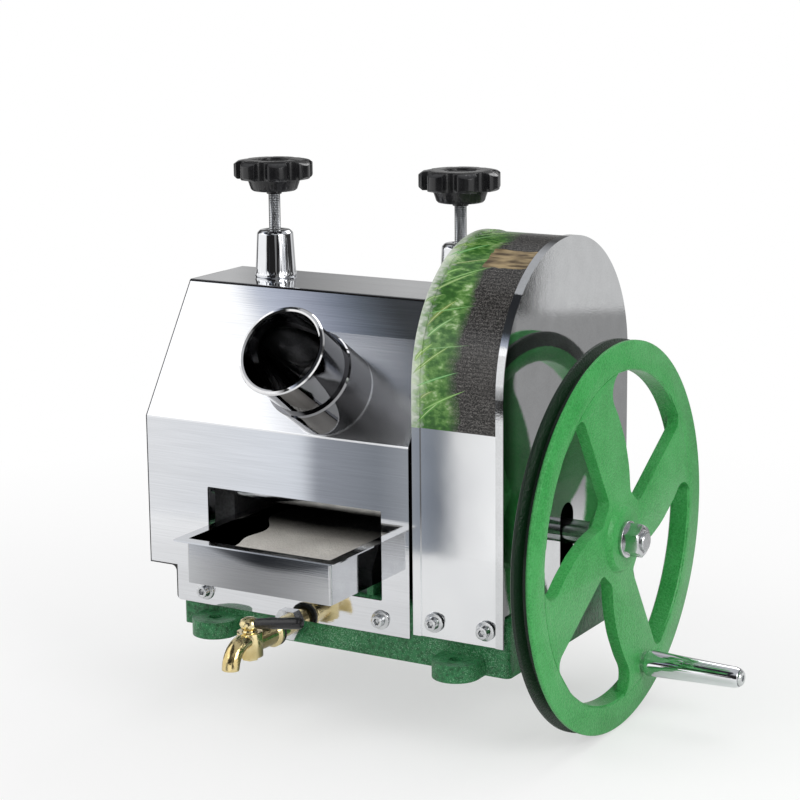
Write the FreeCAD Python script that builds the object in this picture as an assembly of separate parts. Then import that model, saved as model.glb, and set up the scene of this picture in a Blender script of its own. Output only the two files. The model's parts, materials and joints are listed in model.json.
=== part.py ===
import FreeCAD, Part
import math
import os

# Manual sugarcane juicer, in millimetres. The origin is the centre of the four bench bolt holes, on the
# underside of the cast base. X runs to the handwheel, Y from the front to the back, Z up.
Vec = FreeCAD.Vector
LEFT_TO_RIGHT = Vec(1, 0, 0)
FRONT_TO_BACK = Vec(0, 1, 0)
UPWARD = Vec(0, 0, 1)

# Clearances and seats
flat_gap = 0.3
running_clearance = 0.05
thread_clearance = 0.1
free_gap = 0.5

# Cast base
base_length = 312.0
base_height = 49.5
base_wall = 8.0
base_tail = 24.0
base_back_lean = 18.0
base_edge_round = 5.0
lug_pitch_x = 230.0
lug_pitch_y = 260.0
lug_radius = 19.5
lug_thickness = 14.0
lug_hole_radius = 5.5
rail_width = 6.0
pad_foot_gap = 2.0

# Main cover, folded stainless sheet
cover_overhang = 32.0
cover_length = 255.0
cover_depth = 220.0
cover_middle_y = -10.0
cover_fold_rise = 127.5
cover_top_rise = 233.5
cover_top_depth = 81.0
sheet = 1.5
bend_round = 3.0
front_skirt_z = 20.0
skirt_inset = 27.0
mouth_left_margin = 61.2
mouth_right_margin = 25.5
mouth_sill_drop = 1.5
mouth_height = 74.4
rear_mouth_margin = 17.0
rear_mouth_start = 27.0
rear_mouth_height = 50.0
passage_front = -78.0
passage_back = 74.0
passage_round = 30.0

# Gear cover, a band with two capped sides
gear_cover_gap = 4.7
gear_cover_width = 81.3
gear_cover_proud = 2.5
arch_centre_rise = 174.5
gear_skirt_z = 25.0
cap_sheet = 1.2
cap_flange = 7.0

# Cheeks that carry the rollers
cheek_thickness = 20.0
cheek_inset = 24.0
cheek_pitch = 182.0
cap_height = 14.0
cheek_toe_gap = 20.0
cheek_waist = 86.0
cheek_boss = 7.0
cheek_boss_proud = 2.0
slot_half_width = 18.0
post_thickness = 12.0
tie_bar_radius = 8.0
tie_end_radius = 5.0
tie_bar_drops = (44.0, 19.0, 40.0)
front_tie_gap = 34.0
rear_tie_gap = 32.0

# Bolts and screws of the frame and the covers
cheek_bolt_radius = 5.0
cheek_bolt_inset = 16.0
cheek_bolt_flats = 17.0
cheek_bolt_head = 6.5
cap_bolt_radius = 3.0
cap_bolt_head = 5.0
cap_head_depth = 8.5
housing_bolt_radius = 4.0
housing_bolt_head = 6.5
housing_bolt_circle = 26.5
cover_screw_radius = 3.0
cover_screw_head = 5.0
cover_screw_washer = 8.0
cover_screw_drop = 17.5
cover_screw_insets = (57.0, 228.0)
gear_screw_drop = 11.5
gear_screw_insets = (19.3, 65.3)
rear_screw_rise = 8.5
slotted_hole_radius = 3.4
slotted_hole_reach = 3.0

# Rollers, their shafts and their gears
top_roller_y = -2.0
roller_radius = 35.2
roller_nip = 1.6
roller_spread = 42.0
top_roller_rise = 165.1
roller_lift = 1.5
roller_end_gap = 1.0
flute_count = 24
flute_depth = 1.6
flute_width = 3.0
journal_radius = 11.0
gear_seat_radius = 10.0
bush_wall = 3.0
bush_collar = 3.0
block_height = 44.0
keeper_plate = 4.0
mill_teeth = 18
mill_module = 4.0
mill_gear_width = 18.0
mill_gear_gap = 1.8
mill_hub_radius = 17.0
mill_hub_proud = 5.0
mill_backlash = 1.1
drive_module = 3.0
pinion_teeth = 20
wheel_gear_teeth = 60
drive_gear_width = 20.0
drive_gear_gap = 5.0
drive_backlash = 0.35
drive_hub_radius = 20.0
drive_hole_circle = 51.0
drive_hole_radius = 17.0
lower_nut_height = 4.0
drive_hub_proud = 4.0
top_nut_height = 7.0
gear_nut_flats = 30.0
key_width = 6.0
key_height = 6.0

# Crank shaft and handwheel
shaft_radius = 10.0
shaft_y = -12.0
shaft_rise = 45.5
housing_radius = 22.0
housing_flange_radius = 32.0
housing_flange = 10.0
wheel_hub_gap = 29.0
wheel_hub_width = 24.0
wheel_radius = 160.0
rim_width = 18.0
rim_depth = 24.0
wheel_web = 10.0
wheel_boss_proud = 4.0
hub_radius = 26.5
belt_groove_depth = 8.0
belt_groove_mouth = 11.0
belt_groove_floor = 4.0
rim_fillet = 1.6
spoke_count = 4
first_spoke = 20.0
# Trailing flank of a spoke, from hub to rim: distance from the centre and rounding, both as shares of the
# rim's inner radius, with the turn in degrees between them
spoke_flank = ((0.294, 14, 0.05), (0.287, 45, 0.05), (0.4265, 56.5, 0.588), (0.588, 66, 0.588),
               (0.757, 74.5, 0.588), (1.022, 84, 0.118))
washer_radius = 15.0
washer_thickness = 3.0
nut_flats = 24.0
nut_height = 13.0
stud_radius = 8.0
stud_showing = 2.5
pinion_boss_radius = 18.0
pinion_boss_proud = 8.0
pinion_spacer_radius = 15.0
shaft_collar_radius = 14.0
shaft_collar = 6.0

# Crank handle
handle_reach = 128.0
handle_angle = 292.0
handle_length = 82.0
handle_root_radius = 11.0
handle_tip_radius = 8.7
handle_pin_radius = 5.0
handle_shank_radius = 6.0
handle_shoulder = 9.0
handle_head = 6.5
handle_gap = 3.3

# Press screws, bosses and star knobs
screw_radius = 5.0
boss_height = 40.0
boss_foot_radius = 18.0
boss_top_radius = 15.5
screw_showing = 31.0
knob_radius = 34.5
knob_lobes = 7
knob_disc = 15.6
knob_hub = 13.4
knob_hub_top = 23.0
knob_hub_foot = 20.0

# Feed tube
feed_offset = 23.0
feed_up_slope = 39.0
sleeve_radius = 38.0
sleeve_length = 40.0
tube_radius = 35.0
tube_wall = 1.5
tube_length = 86.0
tube_bead = 2.0
tube_inside = 12.0

# Juice tray
tray_left_gap = 15.0
tray_right_gap = 10.0
tray_flange = 8.0
tray_showing = 67.0
tray_depth = 192.0
tray_bottom_rise = 8.5
tray_rim_rise = 45.3
drain_count = 5
tray_sheet = 1.2
screen_below_rim = 6.0

# Juice pan, outlet and tap
pan_left_gap = 28.0
pan_right_gap = 23.0
pan_front_gap = 20.5
pan_past_roller = 22.0
pan_clear = 1.0
pan_floor = 5.0
pan_fall = 12.0
pan_sheet = 1.2
pan_lip = 5.0
tap_offset = -7.0
outlet_z = 15.0
outlet_radius = 8.5
outlet_wall = 2.5
outlet_reach = 22.0
gasket_radius = 12.0
gasket_thickness = 3.0
inlet_length = 36.0
spout_reach = 28.0
spout_radius = 7.5
spout_end_z = 1.0
barrel_radius = 10.5
barrel_half = 10.0
plug_radius = 6.5
plug_top = 25.5
lever_length = 44.0
lever_tilt = 9.0

# Guides and turn plate between the rollers
guide_sheet = 2.0
guide_reach = 25.5
guide_rise = 27.9
front_guide_run = 14.5
front_guide_drops = (24.0, 8.0)
front_guide_past_cheek = 6.0
rear_guide_rises = (6.0, 7.0)
rear_guide_back_gap = 14.0
turn_plate_clear = 1.8
turn_plate_bow = 3.4

# Places worked out from the sizes above
base_left = -base_length / 2
base_right = base_length / 2
cover_left = base_left - cover_overhang
cover_right = cover_left + cover_length
cover_fold_z = base_height + cover_fold_rise
cover_top_z = base_height + cover_top_rise
mouth_left = cover_left + mouth_left_margin
mouth_right = cover_right - mouth_right_margin
mouth_bottom = base_height - mouth_sill_drop
mouth_top = mouth_bottom + mouth_height
cover_front = cover_middle_y - cover_depth / 2
cover_back = cover_middle_y + cover_depth / 2
base_front = cover_front + sheet
base_back_foot = cover_back + base_tail
base_back_top = base_back_foot - base_back_lean
cover_slope_run = (cover_depth - cover_top_depth) / 2
cover_slope_rise = cover_top_z - cover_fold_z
slope_length = math.hypot(cover_slope_run, cover_slope_rise)
slope_run = cover_slope_run / slope_length
slope_rise = cover_slope_rise / slope_length
gear_cover_left = cover_right + gear_cover_gap
gear_cover_right = gear_cover_left + gear_cover_width
gear_cover_middle_y = cover_middle_y
arch_radius = cover_depth / 2 + gear_cover_proud
arch_centre_z = base_height + arch_centre_rise
gear_cover_front = gear_cover_middle_y - arch_radius
gear_pad_front = gear_cover_front + cap_sheet + sheet
cover_screw_z = base_height - cover_screw_drop
gear_screw_z = base_height - gear_screw_drop
rear_screw_z = base_height + rear_screw_rise
left_cheek_x = base_left + cheek_inset
right_cheek_x = left_cheek_x + cheek_pitch
cap_top = cover_top_z - sheet
cheek_top_z = cap_top - cap_height
cheek_front = cover_front + cheek_toe_gap
roller_left = left_cheek_x + cheek_thickness / 2 + roller_end_gap
roller_right = right_cheek_x - cheek_thickness / 2 - roller_end_gap
cheek_inner_left = left_cheek_x + cheek_thickness / 2
cheek_outer_left = left_cheek_x - cheek_thickness / 2
cheek_inner_right = right_cheek_x - cheek_thickness / 2
cheek_outer_right = right_cheek_x + cheek_thickness / 2
cheek_back = cover_back - sheet
top_roller_z = base_height + top_roller_rise
roller_centres = 2 * roller_radius + roller_nip
lower_roller_z = top_roller_z - math.sqrt(roller_centres ** 2 - roller_spread ** 2)
front_roller_y = top_roller_y - roller_spread
rear_roller_y = top_roller_y + roller_spread
bush_radius = journal_radius + bush_wall
crank_bush_radius = shaft_radius + 4.0
mill_gear_left = gear_cover_left + sheet + mill_gear_gap
mill_gear_right = mill_gear_left + mill_gear_width
drive_gear_left = mill_gear_right + drive_gear_gap
drive_gear_right = drive_gear_left + drive_gear_width
housing_right = drive_gear_left - 2.0
block_bottom = top_roller_z - block_height / 2
block_top = top_roller_z + block_height / 2
shaft_z = base_height + shaft_rise
boss_top = cover_top_z + boss_height
knob_bottom = boss_top + screw_showing
wheel_hub_left = gear_cover_right + wheel_hub_gap
wheel_hub_right = wheel_hub_left + wheel_hub_width
wheel_face = wheel_hub_right - wheel_boss_proud
rim_left = wheel_face - rim_width
web_left = wheel_face - wheel_web
rim_inner = wheel_radius - rim_depth
handle_y = shaft_y + handle_reach * math.cos(math.radians(handle_angle))
handle_z = shaft_z + handle_reach * math.sin(math.radians(handle_angle))
mill_middle_x = (left_cheek_x + right_cheek_x) / 2
feed_x = mill_middle_x + feed_offset
feed_y = cover_front + feed_up_slope * slope_run
feed_z = cover_fold_z + feed_up_slope * slope_rise
feed_out = Vec(0, -slope_rise, slope_run)
tray_left = cheek_inner_left + tray_left_gap
tray_right = cheek_inner_right - tray_right_gap
tray_front = cover_front - tray_showing
tray_bottom = base_height + tray_bottom_rise
tray_rim = base_height + tray_rim_rise
tray_floor_z = tray_bottom + tray_sheet
rail_top = tray_bottom - flat_gap
pan_left = cheek_inner_left + pan_left_gap
pan_right = cheek_inner_right - pan_right_gap
pan_front = base_front + pan_front_gap
pan_back = rear_roller_y + pan_past_roller
tap_x = mill_middle_x + tap_offset
gasket_front = cover_front - outlet_reach
plug_y = gasket_front - inlet_length
spout_y = plug_y - spout_reach


def block(x0, x1, y0, y1, z0, z1):
    return Part.makeBox(x1 - x0, y1 - y0, z1 - z0, Vec(x0, y0, z0))


def x_rod(radius, x0, x1, y, z):
    return Part.makeCylinder(radius, x1 - x0, Vec(x0, y, z), LEFT_TO_RIGHT)


def y_rod(radius, y0, y1, x, z):
    return Part.makeCylinder(radius, y1 - y0, Vec(x, y0, z), FRONT_TO_BACK)


def z_rod(radius, z0, z1, x, y):
    return Part.makeCylinder(radius, z1 - z0, Vec(x, y, z0), UPWARD)


def x_ring(outer, inner, x0, x1, y, z):
    return x_rod(outer, x0, x1, y, z).cut(x_rod(inner, x0, x1, y, z))


def hexagon(flats, height, start, axis):
    """Hexagonal bar of a size across flats, standing on start along axis."""
    corner = flats / math.sqrt(3)
    points = []
    for i in range(7):
        turn = math.radians(60 * i)
        points.append(Vec(corner * math.cos(turn), corner * math.sin(turn), 0))
    bar = Part.Face(Part.makePolygon(points)).extrude(UPWARD * height)
    bar.Placement = FreeCAD.Placement(start, FreeCAD.Rotation(UPWARD, axis))
    return bar


def rounded_face(corners, place):
    """Flat face through (u, v, radius) corners, each rounded by its own radius."""
    stretches = []
    count = len(corners)
    for i in range(count):
        u, v, radius = corners[i]
        here = Vec(u, v, 0)
        before = Vec(corners[i - 1][0], corners[i - 1][1], 0) - here
        after = Vec(corners[(i + 1) % count][0], corners[(i + 1) % count][1], 0) - here
        before.normalize()
        after.normalize()
        if radius == 0:
            stretches.append((here, here, here))
            continue
        half = before.getAngle(after) / 2
        inward = before + after
        inward.normalize()
        reach = radius / math.tan(half)
        middle = here + inward * (radius / math.sin(half) - radius)
        stretches.append((here + before * reach, middle, here + after * reach))
    edges = []
    for i in range(count):
        start, middle, end = stretches[i]
        following = stretches[(i + 1) % count][0]
        if start.distanceToPoint(end) > 1e-6:
            through = [place(point.x, point.y) for point in (start, middle, end)]
            edges.append(Part.Arc(*through).toShape())
        if end.distanceToPoint(following) > 1e-6:
            edges.append(Part.makeLine(place(end.x, end.y), place(following.x, following.y)))
    return Part.Face(Part.Wire(edges))


def x_plate(corners, x0, x1):
    """Plate between two X places, from an outline in Y and Z."""
    return rounded_face(corners, lambda u, v: Vec(x0, u, v)).extrude(LEFT_TO_RIGHT * (x1 - x0))


def y_plate(corners, y0, y1):
    """Plate between two Y places, from an outline in X and Z."""
    return rounded_face(corners, lambda u, v: Vec(u, y0, v)).extrude(FRONT_TO_BACK * (y1 - y0))


def z_plate(corners, z0, z1):
    """Plate between two Z places, from an outline in X and Y."""
    return rounded_face(corners, lambda u, v: Vec(u, v, z0)).extrude(UPWARD * (z1 - z0))


def rectangle(u0, u1, v0, v1, radius):
    return [(u0, v0, radius), (u1, v0, radius), (u1, v1, radius), (u0, v1, radius)]


def turned(profile, start, axis):
    """Solid turned about an axis from (along, radius) points, first and last on the axis."""
    points = [Vec(radius, 0, along) for along, radius in profile]
    points.append(points[0])
    solid = Part.Face(Part.makePolygon(points)).revolve(Vec(0, 0, 0), UPWARD, 360)
    solid.Placement = FreeCAD.Placement(start, FreeCAD.Rotation(UPWARD, axis))
    return solid


def involute_gear(teeth, module, backlash, x0, x1, y, z, tooth_angle, flank_steps):
    """Spur gear blank with involute flanks; tooth_angle is the direction of one tooth, in degrees from Y."""
    pressure = math.radians(20)
    pitch = teeth * module / 2
    base = pitch * math.cos(pressure)
    tip = pitch + module
    root = pitch - 1.25 * module
    half_tooth = (math.pi * pitch / teeth - backlash / 2) / 2 / pitch
    spread = math.tan(pressure) - pressure
    flank_start = max(root, base)
    flank = []
    for i in range(flank_steps + 1):
        radius = flank_start + (tip - flank_start) * i / flank_steps
        bend = math.acos(min(1.0, base / radius))
        flank.append((radius, half_tooth + spread - (math.tan(bend) - bend)))
    if root < flank_start:
        flank.insert(0, (root, flank[0][1]))
    points = []
    for i in range(teeth):
        middle = math.radians(tooth_angle) + 2 * math.pi * i / teeth
        for radius, half in flank:
            points.append(Vec(x0, y + radius * math.cos(middle - half), z + radius * math.sin(middle - half)))
        for radius, half in reversed(flank):
            points.append(Vec(x0, y + radius * math.cos(middle + half), z + radius * math.sin(middle + half)))
    points.append(points[0])
    return Part.Face(Part.makePolygon(points)).extrude(LEFT_TO_RIGHT * (x1 - x0))


def meshing_angle(driver_angle, driver_teeth, driven_teeth, driver_at, driven_at):
    """Tooth direction of the driven gear whose gap meets the driver's tooth on the line of centres."""
    line = math.degrees(math.atan2(driven_at[1] - driver_at[1], driven_at[0] - driver_at[0]))
    return line + 180 + 180 / driven_teeth - (driver_angle - line) * driver_teeth / driven_teeth


def save(shape, node):
    shape.exportStep("parts/" + node + ".step")


def base_casting():
    front = base_front
    lower = -2 * base_edge_round
    lean = base_back_lean / base_height
    side = [(front, lower, 0), (base_back_foot - lean * lower, lower, 0),
            (base_back_top, base_height, base_edge_round), (front, base_height, base_edge_round)]
    body = x_plate(side, base_left, base_right)
    tall = z_plate(rectangle(base_left, base_right, front, base_back_foot, base_edge_round), 0, base_height)
    body = body.common(tall)
    pad = block(gear_cover_left, base_right - base_edge_round, gear_pad_front, front,
                gear_skirt_z - pad_foot_gap, base_height - base_edge_round)
    body = body.fuse(pad)
    inner_back = base_back_foot - base_wall
    hollow = [(front + base_wall, 0, 0), (inner_back, 0, 0),
              (inner_back - lean * (base_height - base_wall), base_height - base_wall, 4),
              (front + base_wall, base_height - base_wall, 4)]
    body = body.cut(x_plate(hollow, base_left + base_wall, base_right - base_wall))
    for x in (-lug_pitch_x / 2, lug_pitch_x / 2):
        for y, inside in ((-lug_pitch_y / 2, front + base_wall), (lug_pitch_y / 2, inner_back - 5)):
            lug = z_rod(lug_radius, 0, lug_thickness, x, y)
            arm = block(x - lug_radius, x + lug_radius, min(y, inside), max(y, inside), 0, lug_thickness)
            body = body.fuse(lug.fuse(arm))
    for x in (-lug_pitch_x / 2, lug_pitch_x / 2):
        for y in (-lug_pitch_y / 2, lug_pitch_y / 2):
            body = body.cut(z_rod(lug_hole_radius, -1, lug_thickness + 1, x, y))
    for x in (tray_left, tray_right - rail_width):
        rail = block(x, x + rail_width, front + 4, cheek_waist, base_height - 1, rail_top)
        body = body.fuse(rail)
    opening = z_plate(rectangle(pan_left, pan_right, pan_front, pan_back, 2), base_height - 2 * base_wall,
                      base_height + 1)
    body = body.cut(opening)
    outlet_hole = outlet_radius + thread_clearance
    body = body.cut(y_rod(outlet_hole, front - 1, front + base_wall + 1, tap_x, outlet_z))
    for x in (left_cheek_x, right_cheek_x):
        for y in foot_bolt_places():
            body = body.cut(z_rod(cheek_bolt_radius, base_height - 2 * base_wall, base_height + 1, x, y))
    for x, z in cover_screw_places():
        body = body.cut(y_rod(cover_screw_radius, front - 1, front + base_wall + 1, x, z))
    for x, z in gear_screw_places():
        body = body.cut(y_rod(cover_screw_radius, gear_cover_front, front + base_wall + 1, x, z))
    return body.removeSplitter()


def cover_screw_places():
    return [(cover_left + inset, cover_screw_z) for inset in cover_screw_insets]


def gear_screw_places():
    return [(gear_cover_left + inset, gear_screw_z) for inset in gear_screw_insets]


def foot_bolt_places():
    return [cheek_front + cheek_bolt_inset, cheek_back - cheek_bolt_inset]


def cheek_outline():
    post = slot_half_width + post_thickness
    y = top_roller_y
    shoulder = lower_roller_z + 24
    return [(cheek_front, base_height, 2), (cheek_front, base_height + 16, 6),
            (y - cheek_waist, base_height + 34, 20), (y - cheek_waist, shoulder, 20),
            (y - post, cheek_top_z - 8, 6), (y - post, cheek_top_z, 1),
            (y + post, cheek_top_z, 1), (y + post, cheek_top_z - 8, 6),
            (y + cheek_waist, shoulder, 20), (y + cheek_waist, base_height + 34, 20),
            (cheek_back, base_height + 16, 6), (cheek_back, base_height, 2)]


def cheek(middle_x, outer_side, with_crank):
    x0 = middle_x - cheek_thickness / 2
    x1 = middle_x + cheek_thickness / 2
    body = x_plate(cheek_outline(), x0, x1)
    boss0, boss1 = (x0 - cheek_boss_proud, x0) if outer_side < 0 else (x1, x1 + cheek_boss_proud)
    for y in (front_roller_y, rear_roller_y):
        body = body.fuse(x_rod(bush_radius + cheek_boss, boss0, boss1, y, lower_roller_z))
    relief_back = rear_roller_y - 6
    relief_top = base_height + 9
    relief = [(front_roller_y - 2, base_height - 1, 0), (relief_back, base_height - 1, 0),
              (relief_back, relief_top, 7), (front_roller_y - 2, relief_top, 7)]
    body = body.cut(x_plate(relief, x0, x1))
    slot = [(top_roller_y - slot_half_width, block_bottom - flat_gap, 2),
            (top_roller_y + slot_half_width, block_bottom - flat_gap, 2),
            (top_roller_y + slot_half_width, cheek_top_z + 1, 0),
            (top_roller_y - slot_half_width, cheek_top_z + 1, 0)]
    body = body.cut(x_plate(slot, x0 - 1, x1 + 1))
    for y in (front_roller_y, rear_roller_y):
        body = body.cut(x_rod(bush_radius, x0 - 3, x1 + 3, y, lower_roller_z))
    if with_crank:
        body = body.cut(x_rod(crank_bush_radius, x0 - 1, x1 + 1, shaft_y, shaft_z))
        for y, z in housing_bolt_places():
            body = body.cut(x_rod(housing_bolt_radius, x1 - 14, x1 + 1, y, z))
    for y, z in tie_bar_places():
        body = body.cut(x_rod(tie_end_radius, x0 - 1, x1 + 1, y, z))
    for y in foot_bolt_places():
        body = body.cut(z_rod(cheek_bolt_radius, base_height - 1, base_height + 22, middle_x, y))
    for y in cap_bolt_places():
        body = body.cut(z_rod(cap_bolt_radius, cheek_top_z - 25, cheek_top_z + 1, middle_x, y))
    body = body.cut(y_rod(cover_screw_radius, cheek_back - 12, cheek_back + 1, middle_x, rear_screw_z))
    return body.removeSplitter()


def tie_bar_places():
    places = (front_roller_y - front_tie_gap, top_roller_y, rear_roller_y + rear_tie_gap)
    return [(y, lower_roller_z - drop) for y, drop in zip(places, tie_bar_drops)]


def cap_bolt_places():
    reach = slot_half_width + post_thickness / 2
    return [top_roller_y - reach, top_roller_y + reach]


def housing_bolt_places():
    places = []
    for i in range(3):
        turn = math.radians(30 + 120 * i)
        y = shaft_y + housing_bolt_circle * math.cos(turn)
        places.append((y, shaft_z + housing_bolt_circle * math.sin(turn)))
    return places


def cheek_cap(middle_x):
    """Bridge across the top of a cheek, tapped for the press screw."""
    post = slot_half_width + post_thickness
    body = block(middle_x - cheek_thickness / 2, middle_x + cheek_thickness / 2,
                 top_roller_y - post, top_roller_y + post, cheek_top_z, cap_top)
    tapped = screw_radius + thread_clearance
    body = body.cut(z_rod(tapped, cheek_top_z - 1, cap_top + 1, middle_x, top_roller_y))
    for y in cap_bolt_places():
        body = body.cut(z_rod(cap_bolt_radius, cheek_top_z - 1, cap_top + 1, middle_x, y))
        body = body.cut(z_rod(cap_bolt_head + 0.2, cap_top - cap_head_depth, cap_top + 1, middle_x, y))
    return body


def cap_bolts():
    bolts = []
    for x in (left_cheek_x, right_cheek_x):
        for y in cap_bolt_places():
            head = z_rod(cap_bolt_head, cap_top - cap_head_depth, cap_top - 0.5, x, y)
            head = head.cut(hexagon(cap_bolt_head, 4, Vec(x, y, cap_top - 4.5), UPWARD))
            bolts.append(head.fuse(z_rod(cap_bolt_radius, cheek_top_z - 24, cap_top - cap_head_depth, x, y)))
    return bolts


def cheek_bolts():
    bolts = []
    deck_under = base_height - base_wall
    for x in (left_cheek_x, right_cheek_x):
        for y in foot_bolt_places():
            head = hexagon(cheek_bolt_flats, cheek_bolt_head, Vec(x, y, deck_under - cheek_bolt_head), UPWARD)
            bolts.append(head.fuse(z_rod(cheek_bolt_radius, deck_under, base_height + 20, x, y)))
    return bolts


def cheek_tie_bars():
    bars = []
    for y, z in tie_bar_places():
        bar = x_rod(tie_bar_radius, cheek_inner_left, cheek_inner_right, y, z)
        bar = bar.fuse(x_rod(tie_end_radius, cheek_outer_left - 7, cheek_outer_right + 5, y, z))
        bar = bar.fuse(hexagon(15, 6, Vec(cheek_outer_left - 6, y, z), LEFT_TO_RIGHT))
        bar = bar.fuse(hexagon(15, 4.5, Vec(cheek_outer_right, y, z), LEFT_TO_RIGHT))
        bars.append(bar)
    return Part.makeCompound(bars)


def lower_bushes():
    bushes = []
    collar_radius = bush_radius + bush_wall
    left_face = cheek_outer_left - cheek_boss_proud
    right_face = cheek_outer_right + cheek_boss_proud
    for y in (front_roller_y, rear_roller_y):
        left = x_rod(bush_radius, left_face, cheek_inner_left, y, lower_roller_z)
        left = left.fuse(x_rod(collar_radius, left_face - bush_collar, left_face, y, lower_roller_z))
        right = x_rod(bush_radius, cheek_inner_right, right_face, y, lower_roller_z)
        right = right.fuse(x_rod(collar_radius, right_face, right_face + bush_collar, y, lower_roller_z))
        bore = x_rod(journal_radius + running_clearance, cheek_outer_left - 9, cheek_outer_right + 9, y,
                     lower_roller_z)
        bushes.append(left.cut(bore))
        bushes.append(right.cut(bore))
    return Part.makeCompound(bushes)


def shaft_housing():
    face = cheek_outer_right + housing_flange
    body = x_rod(housing_flange_radius, cheek_outer_right, face, shaft_y, shaft_z)
    body = body.fuse(x_rod(housing_radius, cheek_outer_right, housing_right, shaft_y, shaft_z))
    body = body.cut(x_rod(crank_bush_radius, cheek_outer_right - 1, housing_right + 1, shaft_y, shaft_z))
    sink = housing_bolt_head + flat_gap
    for y, z in housing_bolt_places():
        body = body.cut(x_rod(housing_bolt_radius, cheek_outer_right - 1, face + 1, y, z))
        body = body.cut(x_rod(sink, face - housing_bolt_head, housing_right + 1, y, z))
    return body


def housing_bolts():
    bolts = []
    seat = cheek_outer_right + housing_flange - housing_bolt_head
    for y, z in housing_bolt_places():
        head = x_rod(housing_bolt_head, seat, seat + 6, y, z)
        head = head.cut(hexagon(6, 4, Vec(seat + 3, y, z), LEFT_TO_RIGHT))
        bolts.append(head.fuse(x_rod(housing_bolt_radius, cheek_outer_right - 13, seat, y, z)))
    return bolts


def shaft_bushes():
    bore = x_rod(shaft_radius + running_clearance, cheek_inner_right - 1, housing_right + 1, shaft_y, shaft_z)
    inner = x_rod(crank_bush_radius, cheek_inner_right, cheek_outer_right, shaft_y, shaft_z)
    outer = x_rod(crank_bush_radius, housing_right - 22, housing_right, shaft_y, shaft_z)
    return Part.makeCompound([inner.cut(bore), outer.cut(bore)])


def cover_section(inset, foot):
    """Folded section of the main cover, moved in from its outside by inset."""
    front = cover_front + inset
    back = cover_back - inset
    fold = cover_fold_z - inset * (1 - slope_rise) / slope_run
    top = cover_top_z - inset
    top_half = cover_top_depth / 2 - inset * (1 - slope_run) / slope_rise
    radius = bend_round - inset if inset < bend_round else 0.5
    return [(front, foot, 0), (front, fold, radius), (cover_middle_y - top_half, top, radius),
            (cover_middle_y + top_half, top, radius), (back, fold, radius), (back, foot, 0)]


def main_cover():
    body = x_plate(cover_section(0, base_height), cover_left, cover_right)
    inside = x_plate(cover_section(sheet, base_height - 1), cover_left + sheet, cover_right - sheet)
    body = body.cut(inside)
    skirt_left = cover_left + skirt_inset
    skirt = [(skirt_left, front_skirt_z, 4), (cover_right, front_skirt_z, 1), (cover_right, base_height + 10, 0),
             (cover_left, base_height + 10, 0), (cover_left, base_height, 0), (skirt_left, base_height, 5)]
    body = body.fuse(y_plate(skirt, cover_front, cover_front + sheet))
    mouth = rectangle(mouth_left, mouth_right, mouth_bottom, mouth_top, 1.5)
    body = body.cut(y_plate(mouth, cover_front - 1, cover_front + sheet + 1))
    feed_base = Vec(feed_x, feed_y, feed_z)
    body = body.cut(Part.makeCylinder(tube_radius, 40, feed_base - feed_out * 20, feed_out))
    for x in (left_cheek_x, right_cheek_x):
        body = body.cut(z_rod(screw_radius + free_gap, cover_top_z - 5, cover_top_z + 1, x, top_roller_y))
    window_left = cheek_inner_left + rear_mouth_margin
    window_right = cheek_inner_right - rear_mouth_margin
    window_end = rear_mouth_start + rear_mouth_height
    opening = z_plate(rectangle(window_left, window_right, rear_mouth_start, window_end, 6), -20, 20)
    tilt = math.degrees(math.atan2(cover_slope_rise, -cover_slope_run))
    opening.rotate(Vec(0, 0, 0), LEFT_TO_RIGHT, tilt)
    opening.translate(Vec(0, cover_back, cover_fold_z))
    body = body.cut(opening)
    passage_top = top_roller_z + mill_hub_radius + roller_lift + 3
    passage = [(passage_front, base_height - 1, 0), (passage_back, base_height - 1, 0),
               (passage_back, passage_top, passage_round), (passage_front, passage_top, passage_round)]
    body = body.cut(x_plate(passage, cover_right - sheet - 1, cover_right + 1))
    for x, z in cover_screw_places():
        body = body.cut(slotted_hole(x, z, cover_front - 1, cover_front + sheet + 1))
    body = body.cut(y_rod(outlet_radius + 3, cover_front - 1, cover_front + sheet + 1, tap_x, outlet_z))
    for x in (left_cheek_x, right_cheek_x):
        screw_hole = y_rod(cover_screw_radius + 0.3, cover_back - sheet - 1, cover_back + 1, x, rear_screw_z)
        body = body.cut(screw_hole)
    return body


def slotted_hole(x, z, y0, y1):
    radius = slotted_hole_radius
    low = z - slotted_hole_reach
    high = z + slotted_hole_reach
    slot = y_rod(radius, y0, y1, x, low).fuse(y_rod(radius, y0, y1, x, high))
    return slot.fuse(block(x - radius, x + radius, y0, y1, low, high))


def socket_screw(x, z, face_y, depth):
    """Socket head cap screw with a washer, screwed in from the front."""
    seat = face_y - 1.2
    top = seat - 2 * cover_screw_radius
    washer = y_rod(cover_screw_washer, seat, face_y, x, z)
    head = y_rod(cover_screw_head, top, seat, x, z)
    head = head.cut(hexagon(cover_screw_head, 3.5, Vec(x, top, z), FRONT_TO_BACK))
    return washer.fuse(head).fuse(y_rod(cover_screw_radius, seat - 1, face_y + depth, x, z))


def main_cover_screws():
    screws = [socket_screw(x, z, cover_front, sheet + base_wall) for x, z in cover_screw_places()]
    for x in (left_cheek_x, right_cheek_x):
        screw = socket_screw(x, rear_screw_z, 0, sheet + 10)
        screw.rotate(Vec(x, 0, 0), UPWARD, 180)
        screw.translate(Vec(0, cover_back, 0))
        screws.append(screw)
    return Part.makeCompound(screws)


def gear_cover_screws():
    depth = base_front + base_wall - gear_cover_front
    return Part.makeCompound([socket_screw(x, z, gear_cover_front, depth) for x, z in gear_screw_places()])


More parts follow.
